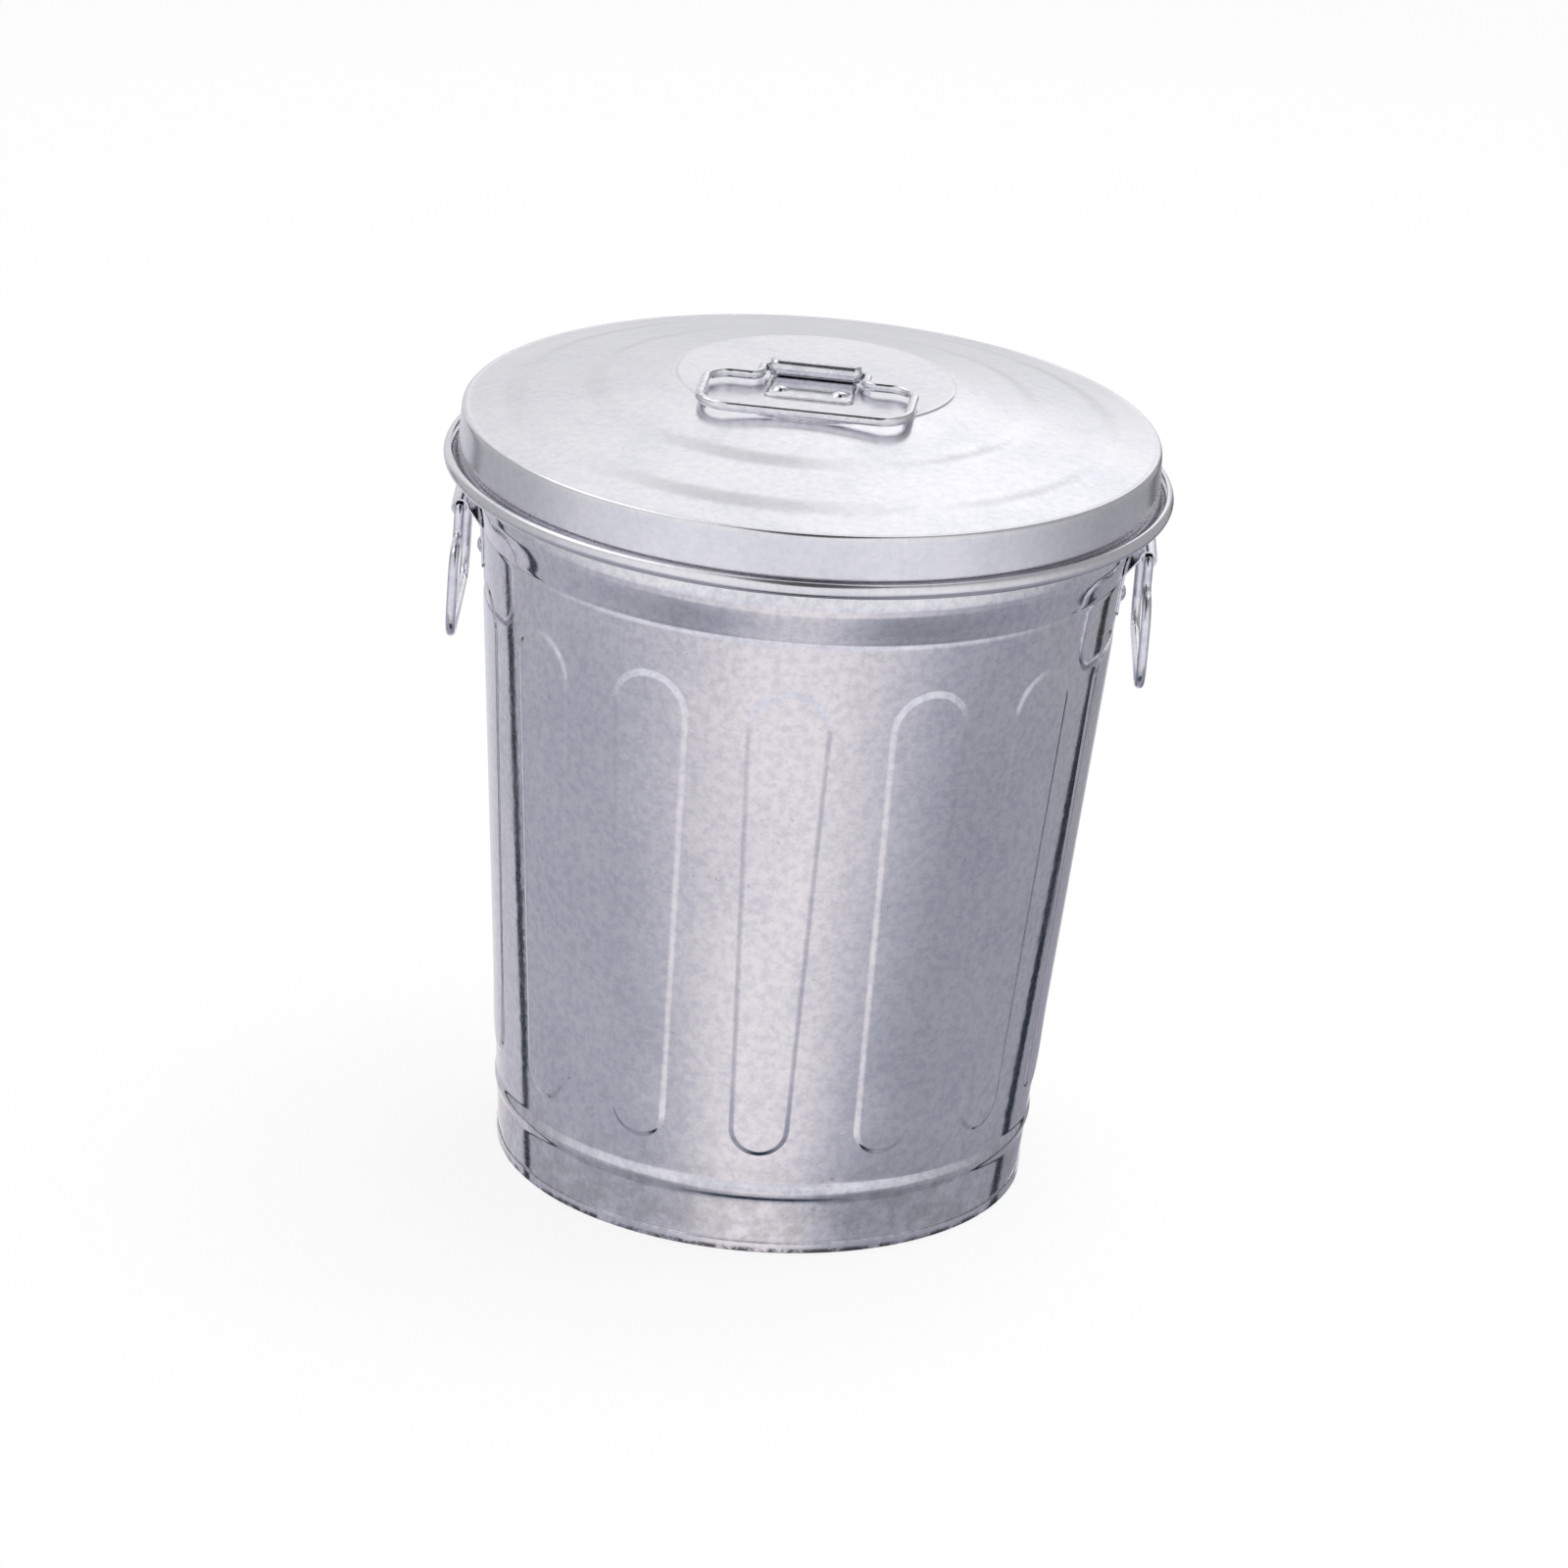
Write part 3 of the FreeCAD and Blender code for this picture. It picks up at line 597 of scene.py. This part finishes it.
    def _sheets(self, front: Signal, rear: Signal, turn: Signal, climb: Signal) -> Signal:
        """Joins the tent's front and rear sheets at the two dark seams.

        Args:
            front: The front's level.
            rear: The rear's level.
            turn: The way's turn round the can.
            climb: The way's climb from the horizon.

        Returns:
            The level of both.
        """
        leaning = climb.held(*self.seam_limits) - self.seam_climb
        left, right = self.seam_left.middle(leaning), self.seam_right.middle(leaning)
        behind = (turn - right).between(-1.0, 1.0) + (left - turn).between(-1.0, 1.0)
        level = front.towards(rear, behind)
        low = climb.between(*self.seam_ramp)
        for middle, half in ((left, self.seam_left.half), (right, self.seam_right.half)):
            outer, inner = (half * share for share in self.seam_edge)
            level = level.towards(self.seam, abs(turn - middle).between(outer, inner) * low)
        return level

    def _foot(self, level: Signal, turn: Signal, climb: Signal) -> Signal:
        """Darkens the tent's foot, most of all in front.

        Args:
            level: The level so far.
            turn: The way's turn round the can.
            climb: The way's climb from the horizon.

        Returns:
            The darkened level.
        """
        sideways = abs(turn - self.pit_turn).between(*self.pit_side_ramp)
        depth = sideways * (self.pit_side - self.pit) + self.pit
        level = level * (1.0 - climb.between(*self.apron_ramp) * (1.0 - self.apron))
        return level.towards(depth, climb.between(*self.pit_ramp))

    def _overhead(self, across: Signal, along: Signal, up: Signal) -> Signal:
        """Finds the dark oval straight above the can.

        Args:
            across: How far the way points to the right.
            along: How far it points to the back.
            up: How far it points up.

        Returns:
            1 inside the oval, and 0 outside it.
        """
        beside = (across - self.crown_middle[0]) / self.crown_half[0]
        before = (along - self.crown_middle[1]) / self.crown_half[1]
        return (beside * beside + before * before).between(*self.crown_edge) * up.between(*self.crown_ramp)

    def _beside_softbox(self, bench: ShaderBench, way: Signal) -> Signal:
        """Finds the round softbox.

        Args:
            bench: The tent's tree.
            way: The direction from the can.

        Returns:
            1 inside it, and 0 outside it.
        """
        close = bench.vector("DOT_PRODUCT", way, tuple(Vector(self.softbox_way).normalized()), "Value")
        outer, inner = (math.cos(math.radians(self.softbox_half * share)) for share in self.softbox_edge)
        return close.between(outer, inner)


@dataclass
class Blank:
    """A sheet shape laid out point by point in millimetres, before it becomes a piece."""

    points: list[Place] = field(default_factory=list)
    faces: list[tuple[int, ...]] = field(default_factory=list)

    def row(self, places: Sequence[Place]) -> list[int]:
        """Adds a row of points.

        Args:
            places: Each point as its turn from +X in radians, its radius and its height.

        Returns:
            The points' numbers.
        """
        first = len(self.points)
        placed = ((radius * math.cos(turn), radius * math.sin(turn), up) for turn, radius, up in places)
        self.points.extend(placed)
        return list(range(first, len(self.points)))

    def skin(self, rows: Sequence[Sequence[int]], closed: bool = False) -> None:
        """Joins each row to the next with faces.

        Args:
            rows: Rows of the same length.
            closed: Whether each row is a loop.
        """
        for low, high in zip(rows, rows[1:]):
            count = len(low)
            for at in range(count if closed else count - 1):
                after = (at + 1) % count
                self.faces.append((low[at], low[after], high[after], high[at]))

    def turned(self, outline: Sequence[Point], columns: int) -> None:
        """Turns an outline round the can's axis.

        Args:
            outline: Radius and height of each point.
            columns: How many points go round.
        """
        turns = [2.0 * math.pi * at / columns for at in range(columns)]
        self.skin([self.row([(turn, radius, up) for turn in turns]) for radius, up in outline], closed=True)

    def piece(self, name: str, body: str, material: bpy.types.Material, sheet: float) -> bpy.types.Object:
        """Makes the piece: joins points that meet, gives the sheet its thickness and lets it ride.

        Args:
            name: The piece's name.
            body: The CAD body that carries it.
            material: Its finish.
            sheet: The sheet's thickness, added on the side that the faces turn away from.

        Returns:
            The piece.
        """
        shape = bmesh.new()
        corners = [shape.verts.new([part * MM for part in point]) for point in self.points]
        for face in self.faces:
            shape.faces.new([corners[at] for at in face])
        bmesh.ops.remove_doubles(shape, verts=shape.verts, dist=0.02 * MM)
        bmesh.ops.dissolve_degenerate(shape, edges=shape.edges, dist=0.001 * MM)
        mesh = bpy.data.meshes.new(name)
        shape.to_mesh(mesh)
        shape.free()
        mesh.materials.append(material)
        mesh.shade_smooth()
        made = bpy.data.objects.new(name, mesh)
        bpy.context.scene.collection.objects.link(made)
        thick = made.modifiers.new("sheet", "SOLIDIFY")
        thick.thickness = sheet * MM
        thick.offset = -1.0
        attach(made, body)
        return made


def eased(value: float, low: float, high: float) -> float:
    """Rises smoothly from 0 at low to 1 at high."""
    part = min(1.0, max(0.0, (value - low) / (high - low)))
    return part * part * (3.0 - 2.0 * part)


def steps(low: float, high: float, count: int) -> list[float]:
    """Returns count + 1 evenly spaced values from low to high."""
    return [low + (high - low) * at / count for at in range(count + 1)]


def point_between(near: Point, far: Point, part: float) -> Point:
    """Returns the point that lies a part of the way from near to far."""
    return near[0] + (far[0] - near[0]) * part, near[1] + (far[1] - near[1]) * part


def arc(middle: Point, radius: float, start: float, end: float, count: int) -> list[Point]:
    """Lays out an arc.

    Args:
        middle: Its centre, across and up.
        radius: Its radius.
        start: The first point's angle in degrees.
        end: The last point's angle in degrees.
        count: How many steps it has.

    Returns:
        Its points.
    """
    angles = [math.radians(angle) for angle in steps(start, end, count)]
    return [(middle[0] + radius * math.cos(angle), middle[1] + radius * math.sin(angle)) for angle in angles]


@dataclass
class Flute:
    """One long flute with round ends, wider at the top, pressed outward from the wall."""

    low: float = 63.0
    high: float = 260.0
    low_half_width: float = 12.3
    high_half_width: float = 17.6
    rise: float = 0.5
    flank: float = 3.4
    foot_share: float = 0.9
    foot_rise: float = 0.95
    foot_fade: tuple[float, float] = (-4.0, 26.0)
    end_steps: int = 24
    side_steps: int = 30

    def lift(self, up: float) -> float:
        """Returns how far the flute stands out at a height; its foot is pressed deeper."""
        start, end = (self.low + reach for reach in self.foot_fade)
        return self.foot_rise + (self.rise - self.foot_rise) * eased(up, start, end)

    def loop(self, grow: float) -> list[Point]:
        """Lays out the flute's outline.

        Args:
            grow: How far outside the flute's own edge it runs.

        Returns:
            Points across and up, from the right of the top end, round the left to the right side.
        """
        lean = math.degrees(math.asin((self.high_half_width - self.low_half_width) / (self.high - self.low)))
        foot_reach = self.low_half_width + grow * self.foot_share
        top = arc((0.0, self.high), self.high_half_width + grow, -lean, 180.0 + lean, self.end_steps)
        foot = arc((0.0, self.low), foot_reach, 180.0 + lean, 360.0 - lean, self.end_steps)
        return self._joined(top, foot)

    def frame(self, half_width: float, low: float, high: float) -> list[Point]:
        """Lays out the four-sided frame round the flute, point for point with its outline.

        Args:
            half_width: Half the frame's width; the caller's own unit.
            low: The frame's lower edge.
            high: The frame's upper edge.

        Returns:
            Points across and up.
        """
        top = [(across, high) for across in steps(half_width, -half_width, self.end_steps)]
        foot = [(across, low) for across in steps(-half_width, half_width, self.end_steps)]
        return self._joined(top, foot)

    def spine(self) -> list[Point]:
        """Returns the flute's middle line, point for point with its outline."""
        count = self.end_steps + 1
        return self._joined([(0.0, self.high)] * count, [(0.0, self.low)] * count)

    def _joined(self, top: list[Point], foot: list[Point]) -> list[Point]:
        """Closes a loop with straight sides between its two ends.

        Args:
            top: The upper end, from right to left.
            foot: The lower end, from left to right.

        Returns:
            The whole loop.
        """
        parts = steps(0.0, 1.0, self.side_steps)[1:-1]
        left = [point_between(top[-1], foot[0], part) for part in parts]
        right = [point_between(foot[-1], top[0], part) for part in parts]
        return top + left + foot + right


@dataclass
class Wall:
    """The can's tapered wall: bead, fourteen flutes, collar, rolled rim and the lapped seam behind."""

    base_radius: float = 122.0
    mouth_radius: float = 150.0
    mouth_height: float = 353.1
    foot: float = 0.2
    sheet: float = 0.7
    bead_low: float = 25.0
    bead_high: float = 36.0
    bead_rise: float = 1.0
    collar_low: float = 302.5
    collar_full: float = 316.5
    collar_turn: float = 319.5
    collar_end: float = 329.0
    collar_rise: float = 2.6
    collar_straight: float = 0.75
    nip: float = 0.14
    nip_below: float = 0.6
    nip_width: float = 1.1
    flutes: int = 14
    fluted_low: float = 44.0
    fluted_high: float = 286.0
    flank_rings: int = 12
    flank_margin: float = 1.15
    inner_parts: tuple[float, ...] = (0.0, 0.35, 0.7)
    outer_parts: tuple[float, ...] = (0.25, 0.5, 0.75, 1.0)
    rim_roll: float = 2.6
    rim_end: float = -130.0
    bead_rows: int = 16
    collar_rows: int = 61
    rim_rows: int = 32
    lap_rows: int = 40
    lap_turn: float = 77.143
    lap_half_angle: float = 1.8
    lap_low: float = 6.0
    lap_high: float = 301.0
    lap_lift: float = 0.1
    flute: Flute = field(default_factory=Flute)
    finish: ZincFinish = field(default_factory=lambda: ZincFinish("zinc_wall", grime_and_shade=0.32))

    def plain(self, up: float) -> float:
        """Returns the outer radius of the plain taper at a height."""
        return self.base_radius + (self.mouth_radius - self.base_radius) * up / self.mouth_height

    def radius(self, up: float) -> float:
        """Works out the wall's outer radius with the bead and the collar, between flutes.

        Args:
            up: The height.

        Returns:
            The radius there.
        """
        bead = min(1.0, max(0.0, (up - self.bead_low) / (self.bead_high - self.bead_low)))
        bulge = 0.5 - 0.5 * math.cos(2.0 * math.pi * bead)
        straight = min(1.0, max(0.0, (up - self.collar_low) / (self.collar_full - self.collar_low)))
        soft = eased(up, self.collar_low, self.collar_full)
        ramp = straight * self.collar_straight + soft * (1.0 - self.collar_straight)
        collar = ramp * (1.0 - eased(up, self.collar_turn, self.collar_end))
        nip = math.exp(-(((up - self.collar_low + self.nip_below) / self.nip_width) ** 2))
        return self.plain(up) + self.bead_rise * bulge + self.collar_rise * collar - self.nip * nip

    def build(self) -> list[bpy.types.Object]:
        """Makes the wall and lets it stand for its CAD node.

        Returns:
            The wall.
        """
        blank = Blank()
        for number in range(self.flutes):
            self._sector(blank, -math.pi / 2.0 + 2.0 * math.pi * number / self.flutes)
        self._bands(blank)
        self._lap(blank)
        made = blank.piece("can_wall", "can", self.finish.make(), self.sheet)
        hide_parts("body_shell")
        return [made]

    def _bead_heights(self) -> list[float]:
        """Spaces the rows from the wall's foot to the flutes.

        Returns:
            Their heights.
        """
        below = steps(self.foot, self.bead_low - 1.0, 4)
        above = steps(self.bead_high + 1.0, self.fluted_low, 3)
        return below + steps(self.bead_low, self.bead_high, self.bead_rows) + above

    def _collar_heights(self) -> list[float]:
        """Spaces the rows from the flutes to the mouth.

        Returns:
            Their heights.
        """
        below = steps(self.fluted_high, self.collar_low - 3.5, 5)
        above = steps(self.collar_end + 5.0, self.mouth_height - 3.0, 4)
        return below + steps(self.collar_low - 3.0, self.collar_end + 1.0, self.collar_rows) + above

    def _bands(self, blank: Blank) -> None:
        """Lays out the bands below and above the flutes, and the rolled rim.

        Args:
            blank: The wall's blank.
        """
        columns = self.flutes * self.flute.end_steps
        turns = [2.0 * math.pi * at / columns - math.pi / 2.0 for at in range(columns)]
        low_band = [(self.radius(up) - self.sheet, up) for up in self._bead_heights()]
        high_band = [(self.radius(up) - self.sheet, up) for up in self._collar_heights()]
        rim_middle = (self.mouth_radius - self.sheet + self.rim_roll, self.mouth_height)
        high_band += arc(rim_middle, self.rim_roll, 180.0, self.rim_end, self.rim_rows)
        for band in (low_band, high_band):
            rows = [[(turn, across, up) for turn in turns] for across, up in reversed(band)]
            blank.skin([blank.row(row) for row in rows], closed=True)

    def _sector(self, blank: Blank, turn: float) -> None:
        """Lays out one flute and the wall round it.

        Args:
            blank: The wall's blank.
            turn: The turn of the flute's middle from +X, in radians.
        """
        flute = self.flute
        reach = 0.5 * flute.flank
        margin = reach * self.flank_margin
        rings = [(flute.loop(grow), grow) for grow in steps(-margin, margin, self.flank_rings)]
        inner, outer = rings[0][0], rings[-1][0]
        rows = []
        for part in self.inner_parts:
            ring = [point_between(near, far, part) for near, far in zip(flute.spine(), inner)]
            rows.append([self._on_wall(turn, across, up, flute.lift(up)) for across, up in ring])
        for ring, grow in rings:
            share = 1.0 - eased(grow, -reach, reach)
            rows.append([self._on_wall(turn, across, up, flute.lift(up) * share) for across, up in ring])
        edge = flute.frame(math.pi / self.flutes, self.fluted_low, self.fluted_high)
        start = [(across / self.plain(up), up) for across, up in outer]
        for part in self.outer_parts:
            ring = [point_between(near, far, part) for near, far in zip(start, edge)]
            rows.append([(turn + swing, self.radius(up) - self.sheet, up) for swing, up in ring])
        blank.skin([blank.row(row) for row in rows], closed=True)

    def _on_wall(self, turn: float, across: float, up: float, rise: float) -> Place:
        """Puts a point on the wall's inner face.

        Args:
            turn: The turn of the flute's middle.
            across: How far to the side of it the point lies, along the wall.
            up: Its height.
            rise: How far it stands out from the wall.

        Returns:
            Its turn, radius and height.
        """
        return turn + across / self.plain(up), self.radius(up) - self.sheet + rise, up

    def _lap(self, blank: Blank) -> None:
        """Lays the wall's free edge over itself behind, as a raised strip.

        Args:
            blank: The wall's blank.
        """
        middle, half = math.radians(self.lap_turn), math.radians(self.lap_half_angle)
        turns = steps(middle - half, middle + half, 6)
        heights = steps(self.lap_low, self.bead_low - 1.0, 3) + steps(self.bead_low, self.bead_high, 12)
        heights += steps(self.fluted_low, self.lap_high, self.lap_rows)
        rows = [[(turn, self.radius(up) + self.lap_lift, up) for turn in turns] for up in reversed(heights)]
        blank.skin([blank.row(row) for row in rows])


@dataclass
class Lid:
    """The domed lid: flat panel in a groove, slope with two soft steps, skirt and outward rolled hem."""

    top: float = 376.335
    foot: float = 375.785
    panel_radius: float = 63.0
    panel_edge: tuple[float, float] = (-1.3, 0.4)
    groove_depth: float = 0.2
    groove_width: float = 0.7
    slope: float = 0.1835
    step_drop: float = 1.4
    inner_step: tuple[float, float] = (93.0, 104.0)
    outer_step: tuple[float, float] = (128.0, 140.0)
    slope_end: float = 155.0
    corner: float = 157.9
    corner_bend: float = 2.5
    corner_drop: float = 0.85
    corner_start: float = 88.0
    corner_end: float = 3.0
    hem_middle: Point = (161.6, 332.9)
    hem_radius: float = 3.4
    hem_end: float = 445.0
    sheet: float = 0.7
    columns: int = 288
    finish: ZincFinish = field(
        default_factory=lambda: ZincFinish(
            "zinc_lid", roughness=0.18, tilt=0.0012, wave=0.00002, mottle=0.16, grain=Grain.ROUND_THE_AXIS
        )
    )

    def height(self, across: float) -> float:
        """Works out the height of the upper face.

        Args:
            across: The distance from the axis.

        Returns:
            The height there.
        """
        sloped = self.foot - self.slope * (across - self.panel_radius)
        sloped -= self.step_drop * (eased(across, *self.inner_step) + eased(across, *self.outer_step))
        start, end = (self.panel_radius + reach for reach in self.panel_edge)
        groove = self.groove_depth * math.exp(-(((across - self.panel_radius) / self.groove_width) ** 2))
        return self.top + (sloped - self.top) * eased(across, start, end) - groove

    def outline(self) -> list[Point]:
        """Lays out the lid's inner face from the middle to the hem's free edge.

        Returns:
            The radius and height of each point.
        """
        panel = self.panel_radius
        spread = steps(0.5, panel - 5.0, 12) + steps(panel - 2.5, panel + 2.5, 30)
        spread += steps(panel + 4.0, self.slope_end, 64)
        dome = [(across, self.height(across) - self.sheet) for across in spread]
        bend = self.corner_bend - self.sheet
        middle = (self.corner - self.sheet - bend, dome[-1][1] - bend * self.corner_drop)
        lean = math.degrees(math.atan(self.slope))
        corner = arc(middle, bend, self.corner_start - lean, self.corner_end, 10)
        hem = arc(self.hem_middle, self.hem_radius, 180.0, self.hem_end, 30)
        skirt = [point_between(corner[-1], hem[0], part) for part in steps(0.0, 1.0, 8)[1:-1]]
        return dome + corner + skirt + hem

    def build(self) -> list[bpy.types.Object]:
        """Makes the lid and lets it stand for its CAD node.

        Returns:
            The lid.
        """
        blank = Blank()
        blank.turned(self.outline(), self.columns)
        blank.faces.append(tuple(range(self.columns)))
        made = blank.piece("lid_sheet", "lid", self.finish.make(), self.sheet)
        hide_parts("lid_pan")
        return [made]


@dataclass
class LidBracket:
    """The lid's bracket: a plate under two rivets whose back edge is curled almost closed over the bail."""

    curl_foot: Point = (-3.2, 376.335)
    curl_radius: float = 4.0
    curl_end: float = 224.0
    plate: float = 31.0
    half_width: float = 20.2
    corner: float = 4.0
    sheet: float = 0.8
    turn: float = -5.0
    finish: ZincFinish = field(default_factory=lambda: ZincFinish("zinc_bracket", roughness=0.1))

    def build(self) -> list[bpy.types.Object]:
        """Makes the bracket and lets it stand for its CAD node.

        Returns:
            The bracket.
        """
        back, low = self.curl_foot
        front = back - self.plate
        reaches = steps(0.0, self.corner, 8) + steps(self.corner + 2.0, self.plate - 1.0, 6)
        outline = [(front + reach, low) for reach in reaches]
        outline += arc((back, low + self.curl_radius), self.curl_radius, -90.0, self.curl_end, 40)
        blank = Blank()
        rows = []
        for along, up in reversed(outline):
            half = self.half_width - self._cut_in(along - front)
            rows.append(blank.row([self._place(across, along, up) for across in steps(-half, half, 12)]))
        blank.skin(rows)
        made = blank.piece("lid_bracket_sheet", "lid", self.finish.make(), self.sheet)
        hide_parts("lid_bracket")
        return [made]

    def _place(self, across: float, along: float, up: float) -> Place:
        """Returns the turn, radius and height of a point of the bracket, turned with the lid."""
        return math.atan2(along, across) + math.radians(self.turn), math.hypot(across, along), up

    def _cut_in(self, reach: float) -> float:
        """Returns how far the plate's rounded corner cuts in at a distance from its front edge."""
        short = max(0.0, self.corner - reach)
        return self.corner - math.sqrt(self.corner**2 - short**2)


@dataclass
class PhotoCamera:
    """The camera at the photograph's place, angle and focal length."""

    place: Place = (0.0, -2.80127, 1.27359)
    aim: Place = (-0.000515, 0.0, 0.17984)
    roll: float = 0.07601
    pixels_to_sensor: float = 6674.775
    picture: int = 1600
    sensor: float = 36.0
    reach: float = 50.0

    def build(self) -> list[bpy.types.Object]:
        """Makes the camera and hands it to the scene.

        Returns:
            The camera.
        """
        lens = bpy.data.cameras.new("photo_camera")
        lens.sensor_width = self.sensor
        lens.lens = self.pixels_to_sensor * self.sensor / self.picture
        lens.clip_end = self.reach
        camera = bpy.data.objects.new("photo_camera", lens)
        forward = (Vector(self.aim) - Vector(self.place)).normalized()
        level = forward.cross(Vector((0.0, 0.0, 1.0))).normalized()
        upright = level.cross(forward)
        right = math.cos(self.roll) * level + math.sin(self.roll) * upright
        up = math.cos(self.roll) * upright - math.sin(self.roll) * level
        turned = Matrix((right, up, -forward)).transposed().to_4x4()
        camera.matrix_world = Matrix.Translation(self.place) @ turned
        bpy.context.scene.collection.objects.link(camera)
        bpy.context.scene.camera = camera
        return [camera]


@dataclass
class Studio:
    """A white floor, a light tent, a soft lamp and a white world round them."""

    floor_half: float = 6.0
    tent_radius: float = 5.0
    tent_columns: int = 96
    tent_rows: int = 48
    middle_height: float = 0.2
    lamp_place: Place = (0.5, 0.4, 2.4)
    lamp_watts: float = 20.0
    lamp_size: float = 1.8
    world_light: float = 0.55

    def build(self) -> list[bpy.types.Object]:
        """Makes the whole studio.

        Returns:
            The floor, the tent and the lamp.
        """
        bpy.context.scene.view_settings.view_transform = "Standard"
        self._world()
        return [self._floor(), self._tent(), self._lamp()]

    def _world(self) -> None:
        """Makes a white world, softer where it lights matt things."""
        world = bpy.data.worlds.new("studio")
        world.use_nodes = True
        bpy.context.scene.world = world
        bench = ShaderBench(world.node_tree)
        strength = self.world_light + bench.seen().between(0.0, 1.0) * (1.0 - self.world_light)
        back = bench.node("ShaderNodeBackground", None, {"Color": (1.0, 1.0, 1.0), "Strength": strength})
        bench.add("ShaderNodeOutputWorld", None, {"Surface": back})

    def _floor(self) -> bpy.types.Object:
        """Lays the floor, which mirrors leave to the tent.

        Returns:
            The floor.
        """
        half = self.floor_half
        mesh = bpy.data.meshes.new("floor")
        corners = [(-half, -half, 0.0), (half, -half, 0.0), (half, half, 0.0), (-half, half, 0.0)]
        mesh.from_pydata(corners, [], [(0, 1, 2, 3)])
        mesh.materials.append(WhiteFloorFinish().make())
        floor = bpy.data.objects.new("floor", mesh)
        floor.visible_glossy = False
        bpy.context.scene.collection.objects.link(floor)
        return floor

    def _tent(self) -> bpy.types.Object:
        """Stands the light tent, which only mirrors see, round the can.

        Returns:
            The tent.
        """
        mesh = bpy.data.meshes.new("tent")
        shape = bmesh.new()
        columns, rows = self.tent_columns, self.tent_rows
        bmesh.ops.create_uvsphere(shape, u_segments=columns, v_segments=rows, radius=self.tent_radius)
        shape.to_mesh(mesh)
        shape.free()
        mesh.materials.append(TentFinish().make())
        tent = bpy.data.objects.new("tent", mesh)
        tent.location = (0.0, 0.0, self.middle_height)
        tent.visible_camera = False
        tent.visible_diffuse = False
        tent.visible_shadow = False
        bpy.context.scene.collection.objects.link(tent)
        return tent

    def _lamp(self) -> bpy.types.Object:
        """Hangs the lamp that throws the can's shadow on the floor.

        Returns:
            The lamp.
        """
        light = bpy.data.lights.new("overhead", "AREA")
        light.energy = self.lamp_watts
        light.size = self.lamp_size
        lamp = bpy.data.objects.new("overhead", light)
        aim = Vector((0.0, 0.0, self.middle_height)) - Vector(self.lamp_place)
        turned = aim.to_track_quat("-Z", "Y").to_matrix().to_4x4()
        lamp.matrix_world = Matrix.Translation(self.lamp_place) @ turned
        lamp.visible_glossy = False
        bpy.context.scene.collection.objects.link(lamp)
        return lamp


@dataclass
class Dressing:
    """The finishes of the CAD nodes that show as they are."""

    nodes: Mapping[str, bpy.types.Object]
    finishes: Mapping[str, ZincFinish] = field(
        default_factory=lambda: {
            # The base pan's near-black band along its bottom edge is painted shade where the can meets the
            # floor.
            "base_pan": ZincFinish("zinc_base", dirt_and_shade=(0.13, 0.13, 0.14), grime_and_shade=1.2, grime_and_shade_height=0.0034),
            "rim_wire": ZincFinish("zinc_rim"),
            "lid_bracket_rivets": ZincFinish("zinc_lid_rivets"),
            "right_ear": ZincFinish("zinc_right_ear"),
            "left_ear": ZincFinish("zinc_left_ear"),
            "right_ear_rivets": ZincFinish("zinc_right_rivets"),
            "left_ear_rivets": ZincFinish("zinc_left_rivets"),
            "lid_bail": ZincFinish("zinc_lid_bail", crystal=0.0015),
            "right_bail": ZincFinish("zinc_right_bail", crystal=0.0015),
            "left_bail": ZincFinish("zinc_left_bail", crystal=0.0015),
        }
    )

    def build(self) -> list[bpy.types.Object]:
        """Gives each node its finish.

        Returns:
            The nodes.
        """
        dressed = []
        for name, finish in self.finishes.items():
            node = self.nodes[name]
            node.data.materials.clear()
            node.data.materials.append(finish.make())
            dressed.append(node)
        return dressed


def main() -> None:
    """Builds the camera, the studio and the can's looks in order, and reports each piece."""
    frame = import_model()
    for maker in (PhotoCamera(), Studio(), Wall(), Lid(), LidBracket(), Dressing(frame["nodes"])):
        for piece in maker.build():
            log.info("%s: %s", type(maker).__name__, piece.name)


if __name__ == "__main__":
    logging.basicConfig(level=logging.INFO, format="%(name)s: %(message)s")
    main()
